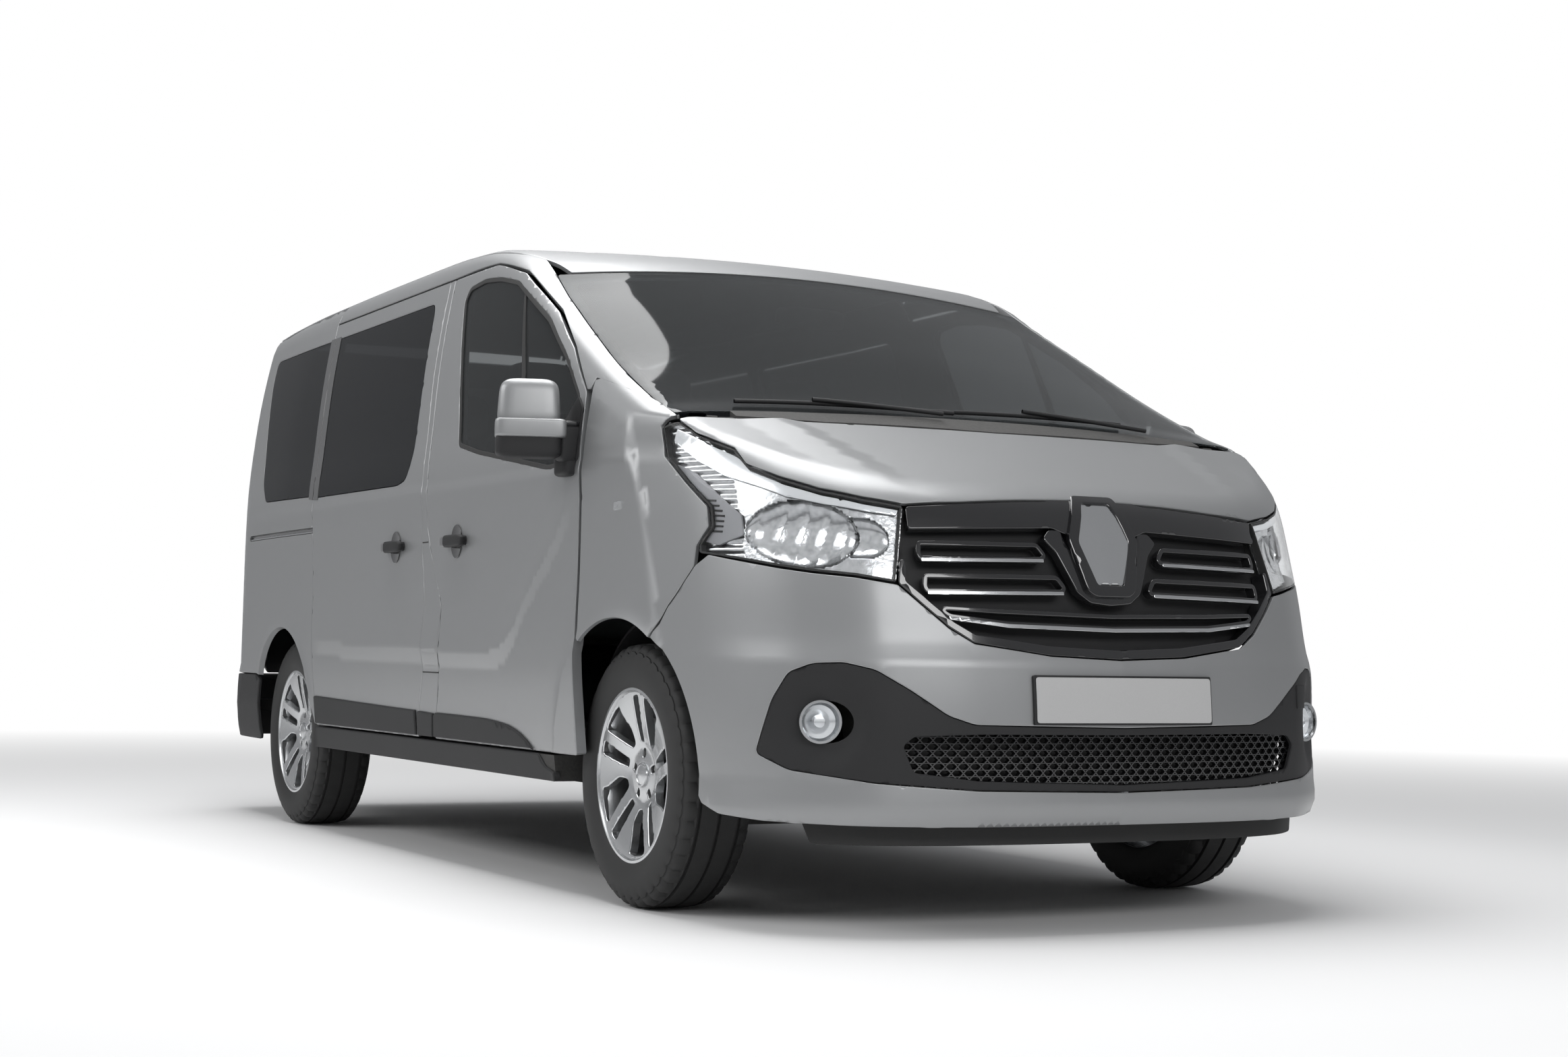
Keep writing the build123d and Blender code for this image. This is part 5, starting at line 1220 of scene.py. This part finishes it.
mirror_glass = finish("mirror_glass", (0.75, 0.76, 0.77), (0.78, 0.79, 0.8), 0.03, 1.0, 50.0, 0.0,
    0.0)
for side, word in SIDES:
    body = "front_door_" + word
    lean = Matrix.Rotation(math.radians(side * 20), 3, "Z")
    hood = pebble("mirror_hood_" + word, (side * 1082, -1240, 1338), (88, 56, 66), paint, body,
        0.42, lean, shape_by=lambda p, side=side: (p[0] * (1 - 0.10 * (p[2] + 66) / 132),
        p[1] * (1 - 0.18 * (p[2] + 66) / 132), p[2]))
    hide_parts("mirror_" + word)
    band = pebble("mirror_band_" + word, (side * 1077, -1242, 1268), (97, 60, 27), paint, body,
        0.24, lean)
    housing = pebble("mirror_housing_" + word, (side * 1082, -1240, 1222), (90, 54, 34),
        black_plastic, body, 0.36, lean)
    arm = pebble("mirror_arm_" + word, (side * 972, -1276, 1232), (40, 30, 52), black_plastic, body,
        0.35)
    cap = pebble("mirror_arm_cap_" + word, (side * 985, -1274, 1284), (30, 32, 8), gloss_black,
        body, 0.3)
    foot = pebble("mirror_foot_" + word, (side * 965, -1255, 1168), (34, 46, 26), black_plastic,
        body, 0.4)
    sail_line = [(-1314, 1186), (-1303, 1330), (-1262, 1366), (-1190, 1300), (-1150, 1180),
        (-1250, 1168)]
    sail = panel("mirror_sail_" + word, softened(sail_line, 12), on_side(side, side_shape),
        black_plastic, body, depth=14, sunk=-7, edge=4)
    view_centre = np.array((side * 1082, -1240, 1316))
    across_view, behind_view = lean @ Vector((1, 0, 0)), lean @ Vector((0, 1, 0))

    def view_lift(uv, centre=view_centre, across=np.array(across_view),
            behind=np.array(behind_view)):
        return centre + uv[:, :1] * across + 57.5 * behind + uv[:, 1:] * np.array((0, 0, 1.0))
    view = panel("mirror_glass_" + word, softened([(-78, -58), (78, -58), (74, 60), (-74, 60)], 24),
        view_lift, mirror_glass, body, depth=2, edge=0.6, flip=-1.0)

# ---- Door handles, filler flap, rail cover and repeaters ----
# Dark moulded pull handles over oval finger cups, all bolted through the door skins.

HANDLE_Z = 995.0
handle_end = finish("handle_end", (0.16, 0.16, 0.165), (0.20, 0.20, 0.205), 0.3, 0.4, 500.0, 0.05)
for side, y, body, word in ((-1, -378, "front_door_right", "front_right"),
        (1, -378, "front_door_left", "front_left"), (-1, 204, "body", "slider")):
    cup_line = np.array([(y + 46 * math.cos(t), HANDLE_Z + 52 * math.sin(t)) for t in np.linspace(0,
        2 * math.pi, 36, endpoint=False)])

    def cup_lift(uv, side=side, y=y):
        p = on_side(side, side_shape)(uv)
        away = np.hypot((uv[:, 0] - y) / 46, (uv[:, 1] - HANDLE_Z) / 52)
        p[:, 0] += side * (4.5 - 2.5 * np.clip(1 - away ** 2, 0, 1))
        return p
    cup = panel("handle_cup_" + word, cup_line, cup_lift, gloss_black, body, depth=4, grid=9,
        edge=1)
    skin_x = abs(side_points(side, [(y, HANDLE_Z)])[0][0]) + side_shape(np.array(float(y)),
        np.array(HANDLE_Z))
    pull = pebble("handle_pull_" + word, (side * (skin_x + 17), y, HANDLE_Z + 1), (13, 92, 19),
        black_plastic, body, 0.5, None, handle_end, lambda p, y=y: p[1] > y + 48)
    for offset in (-66, 66):
        foot = pebble(f"handle_foot_{word}_{offset}", (side * (skin_x + 6), y + offset,
            HANDLE_Z + 1), (14, 18, 15), black_plastic, body, 0.6, rows=10, columns_round=16)
for side, word in SIDES:
    repeater = panel("side_repeater_" + word, softened([(-1602, 1038), (-1552, 1036), (-1550, 1060),
        (-1600, 1063)], 7), on_side(side, side_shape), lamp_glass, "body", depth=6, sunk=-4, edge=2,
        grid=8)
flap = panel("filler_flap", softened([(-246, 596), (-97, 596), (-103, 800), (-62, 960),
    (-118, 1000), (-196, 885), (-257, 795)], 8), right_lift, paint, "body", depth=8, sunk=-0.8,
    edge=1.5)
for z, low_y, high_y in ((1002, -112, -58), (592, -238, -94)):
    seam = panel(f"post_seam_{z}", [(low_y, z - 2), (high_y, z - 2), (high_y, z + 2),
        (low_y, z + 2)], right_lift, rubber, "body", depth=2, sunk=-0.5, edge=0, grid=12)
slot_well = panel("rail_slot_well", drawn_in(softened(RAIL_SLOT, 6), -3), right_lift, gloss_black,
    "body", depth=3, sunk=10, edge=0)
rail_line = panel("rail_slot_line", softened([(1170, 1080), (2062, 1080), (2062, 1084),
    (1170, 1084)], 1), right_lift, bright, "body", depth=4, sunk=4, edge=0.5)

# ---- Lower mouldings and sills ----
# Black grained mouldings clipped along the bottom of the doors, over a black grained sill cover.

moulding_top = through((-1111, 314), (-1060, 352), (-978, 405), (-900, 434), (-796, 453),
    (-599, 464), (-45, 469), (1116, 489))
for side, word in SIDES:
    lift = on_side(side, side_shape)
    ys = np.linspace(-1010, -205, 18)
    line = [(y, float(moulding_top(y))) for y in ys] + [(-190, 462), (-178, 391), (-1000, 391)]
    strip = panel("door_moulding_" + word, softened(line, 4), lift, black_plastic,
        "front_door_" + word, depth=8, sunk=-9, edge=4)
    start = -162 if side == 1 else -8
    ys = np.linspace(start, 1098, 18)
    line = [(y, float(moulding_top(y))) for y in ys] + [(1098, 391), (start, 391)]
    strip = panel("side_moulding_" + word, softened(line, 4), lift, black_plastic, "body", depth=8,
        sunk=-9, edge=4)
    sill = panel("sill_cover_" + word, softened([(-1160, 306), (-1160, 330), (-1090, 345),
        (-1045, 379), (1100, 379), (1120, 340), (1126, 306)], 10), lift, black_plastic, "body",
        depth=20, sunk=-6, edge=4)
post_moulding = panel("post_moulding", softened([(-166, 391), (-180, 464), (-36, 468), (-24, 391)],
    3), right_lift, black_plastic, "body", depth=8, sunk=-9, edge=4)

# ---- Rear bumper, tail lamps and rear plate ----
# A black moulded bumper with a step, tall red lenses on the corners and a blank plate.

TAIL = (0.0, 1700.0)
rear_lift = round_corner(TAIL)
rear_arch_run = [(y, z) for y, z in arch(REAR_ARCH, 148, 184) if z > 300 and y > 1860]
rear_half = np.concatenate((on_tail(np.array([(0, 553), (400, 553), (700, 553)], float)),
    side_points(1, [(2250, 553), (2000, 553), (1926, 553)] + rear_arch_run
    + [(1935, 300), (2200, 300)]), on_tail(np.array([(700, 300), (400, 300), (0, 300)], float))))


def rear_shape(uv):
    """The rear bumper's skin with its step and a tucked-in lower edge."""
    p = rear_lift(uv)
    step = 4 * np.clip(1 - np.abs(uv[:, 1] - 440) / 90, 0, 1)
    tuck = 6 * np.clip((345 - uv[:, 1]) / 45, 0, 1)
    return p + (step - tuck)[:, None] * away_from(p, TAIL)


rear_bumper = panel("rear_bumper_cover", softened(turned(whole(rear_half), TAIL), 10, 25),
    rear_shape, black_plastic, "body", depth=12, grid=30, edge=4)
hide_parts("rear_bumper")
tail_red = finish("tail_lens_red", (0.30, 0.008, 0.008), (0.36, 0.012, 0.012), 0.12, scale=80.0,
    relief=0.05, Coat_Weight=1.0)
tail_clear = finish("tail_lens_clear", (0.5, 0.45, 0.42), (0.56, 0.5, 0.48), 0.15, scale=80.0,
    relief=0.05, Coat_Weight=1.0)
for side, word in SIDES:
    for name, low, high, glass in (("upper", 1002, 1325, tail_red),
            ("middle", 900, 998, tail_clear), ("lower", 775, 896, tail_red)):
        edge_run = [corner_place(TAIL_EDGE - 4, z) for z in np.linspace(low, high, 5)]
        outline = [(edge_run[0][0] - 95, low)] + edge_run + [(edge_run[-1][0] - 80, high)]
        lens_piece = panel(f"tail_lens_{name}_{word}", softened(outline, 10), side_and_corner(side),
            glass, "body", depth=8, sunk=-7, edge=3, grid=16)
        if name == "upper" and side == 1:
            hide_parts("tail_lamps")
rear_plate = panel("number_plate_rear",
    softened([(-260, 905), (260, 905), (260, 1015), (-260, 1015)], 8),
    lambda uv: on_tailgate(uv) + np.array((0, 6.0, 0)), plate_paint, "tailgate", depth=2, edge=0.8)
handle_strip = panel("tailgate_handle", softened([(-300, 1110), (300, 1110), (290, 1150),
    (-290, 1150)], 10), on_tailgate, black_plastic, "tailgate", depth=14, sunk=-9, edge=4)

# ---- Windscreen foot: cowl and wipers ----
# A black moulded cowl covers the gap under the bonnet's rear edge; two arms lie on the glass.

cowl_line = [(-790, -1806), (-450, -1801), (0, -1807), (450, -1801), (790, -1806), (620, -1850),
    (500, -1862), (250, -1884), (0, -1894), (-250, -1884), (-500, -1862), (-620, -1850)]
cowl = panel("windscreen_cowl", softened(cowl_line, 8), on_top, black_plastic, "body", depth=16,
    sunk=8, edge=2)


def wiper(name, foot, tip, blade_from, blade_to):
    """An arm and its blade, both bent to the windscreen a little above the glass."""
    arm = bpy.data.curves.new(name, "CURVE")
    arm.dimensions = "3D"
    for start, end, clear in ((foot, tip, 24), (blade_from, blade_to, 10)):
        line = arm.splines.new("POLY")
        run = [np.array(start) * (1 - t) + np.array(end) * t for t in np.linspace(0, 1, 14)]
        line.points.add(len(run) - 1)
        for point, (x, y, z) in zip(line.points, on_top(np.array(run)) / 1000):
            point.co = (x, y - 0.3 * clear / 1000, z + 0.7 * clear / 1000, 1)
    arm.bevel_depth = 0.006
    arm.bevel_resolution = 2
    arm.materials.append(black_plastic)
    piece = placed(name, arm, "body")


wiper("wiper_left", (560, -1800), (180, -1745), (520, -1735), (-170, -1772))
wiper("wiper_right", (-120, -1815), (-480, -1740), (-60, -1775), (-700, -1722))
cabin_mirror = pebble("cabin_mirror", (0, -830, 1700), (120, 16, 34), black_plastic, "body", 0.45,
    rows=14, columns_round=24)

# ---- Seats ----
# Foam pads in dark woven cloth over bases in a darker cloth; each place has its own head restraint.

seat_cloth = finish("seat_cloth", (0.022, 0.022, 0.025), (0.06, 0.06, 0.065), 0.9, scale=1600.0,
    relief=0.8, Sheen_Weight=0.3)
seat_side = finish("seat_side_cloth", (0.015, 0.015, 0.017), (0.035, 0.035, 0.038), 0.85,
    scale=900.0, relief=0.6)
SEAT_ROWS = {"driver_seat": (150, 650, -60, 1), "passenger_seat": (-760, 60, -60, 2),
    "rear_seats": (-690, 690, 1030, 3), "third_row": (-610, 610, 1900, 3)}
for label, (left_x, right_x, rear_y, places) in SEAT_ROWS.items():
    width = (right_x - left_x) / places
    stand = pebble(label + "_base", ((left_x + right_x) / 2, rear_y - 300, 570),
        ((right_x - left_x) / 2 - 60, 175, 112), seat_side, "body", 0.2)
    for place in range(places):
        middle = left_x + (place + 0.5) * width
        cushion = pebble(f"{label}_cushion_{place}", (middle, rear_y - 310, 755),
            (width / 2 - 3, 245, 72), seat_cloth, "body", 0.35, shape_by=lambda p: (p[0], p[1],
            p[2] + (10 * (1 - (p[0] / 200) ** 2) if p[2] > 0 else 0)))
        recline = Matrix.Rotation(math.radians(-9), 3, "X")
        back = pebble(f"{label}_back_{place}", (middle, rear_y - 25, 1090),
            (width / 2 - 4, 62, 312), seat_cloth, "body", 0.38, recline)
        head = pebble(f"{label}_head_{place}", (middle, rear_y + 50, 1525), (122, 44, 84),
            seat_cloth, "body", 0.5)
        if place == 0 and label in ("driver_seat", "passenger_seat", "rear_seats"):
            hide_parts(label)
        for offset in (-54, 54):
            rod = turned_piece(f"{label}_rod_{place}_{'a' if offset < 0 else 'b'}",
                [(6, -60), (6, 60)], (middle + offset, rear_y + 50, 1420), (0, 0, 1), bright,
                "body", 12)

# ---- Cabin, floor and running gear ----
# Plain pieces seen through the glass or from below keep their fabricated shape and get
# the finish of their own material: grained trim, underseal, cast and rolled metal.

trim = finish("cabin_trim", (0.02, 0.02, 0.022), (0.045, 0.045, 0.047), 0.6, scale=1100.0,
    relief=0.4)
cast_metal = finish("engine_casting", (0.18, 0.18, 0.185), (0.27, 0.27, 0.275), 0.5, 0.8, 300.0,
    0.5)
chassis = finish("chassis_steel", (0.02, 0.02, 0.02), (0.05, 0.045, 0.04), 0.55, 0.3, 250.0, 0.4)
pipe_steel = finish("exhaust_steel", (0.20, 0.19, 0.18), (0.36, 0.34, 0.32), 0.4, 0.9, 120.0, 0.2)
kept = {"floor_pan": underseal, "engine_bay_frame": underseal, "wheel_arch_liners": black_plastic,
    "dashboard": trim, "engine_block": cast_metal, "front_suspension": chassis,
    "rear_axle": chassis, "fuel_tank": black_plastic, "exhaust": pipe_steel,
    "knuckle_right": chassis, "knuckle_left": chassis, "steering_wheel": trim}
for node, material in kept.items():
    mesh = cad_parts[node].data
    mesh.materials.clear()
    mesh.materials.append(material)
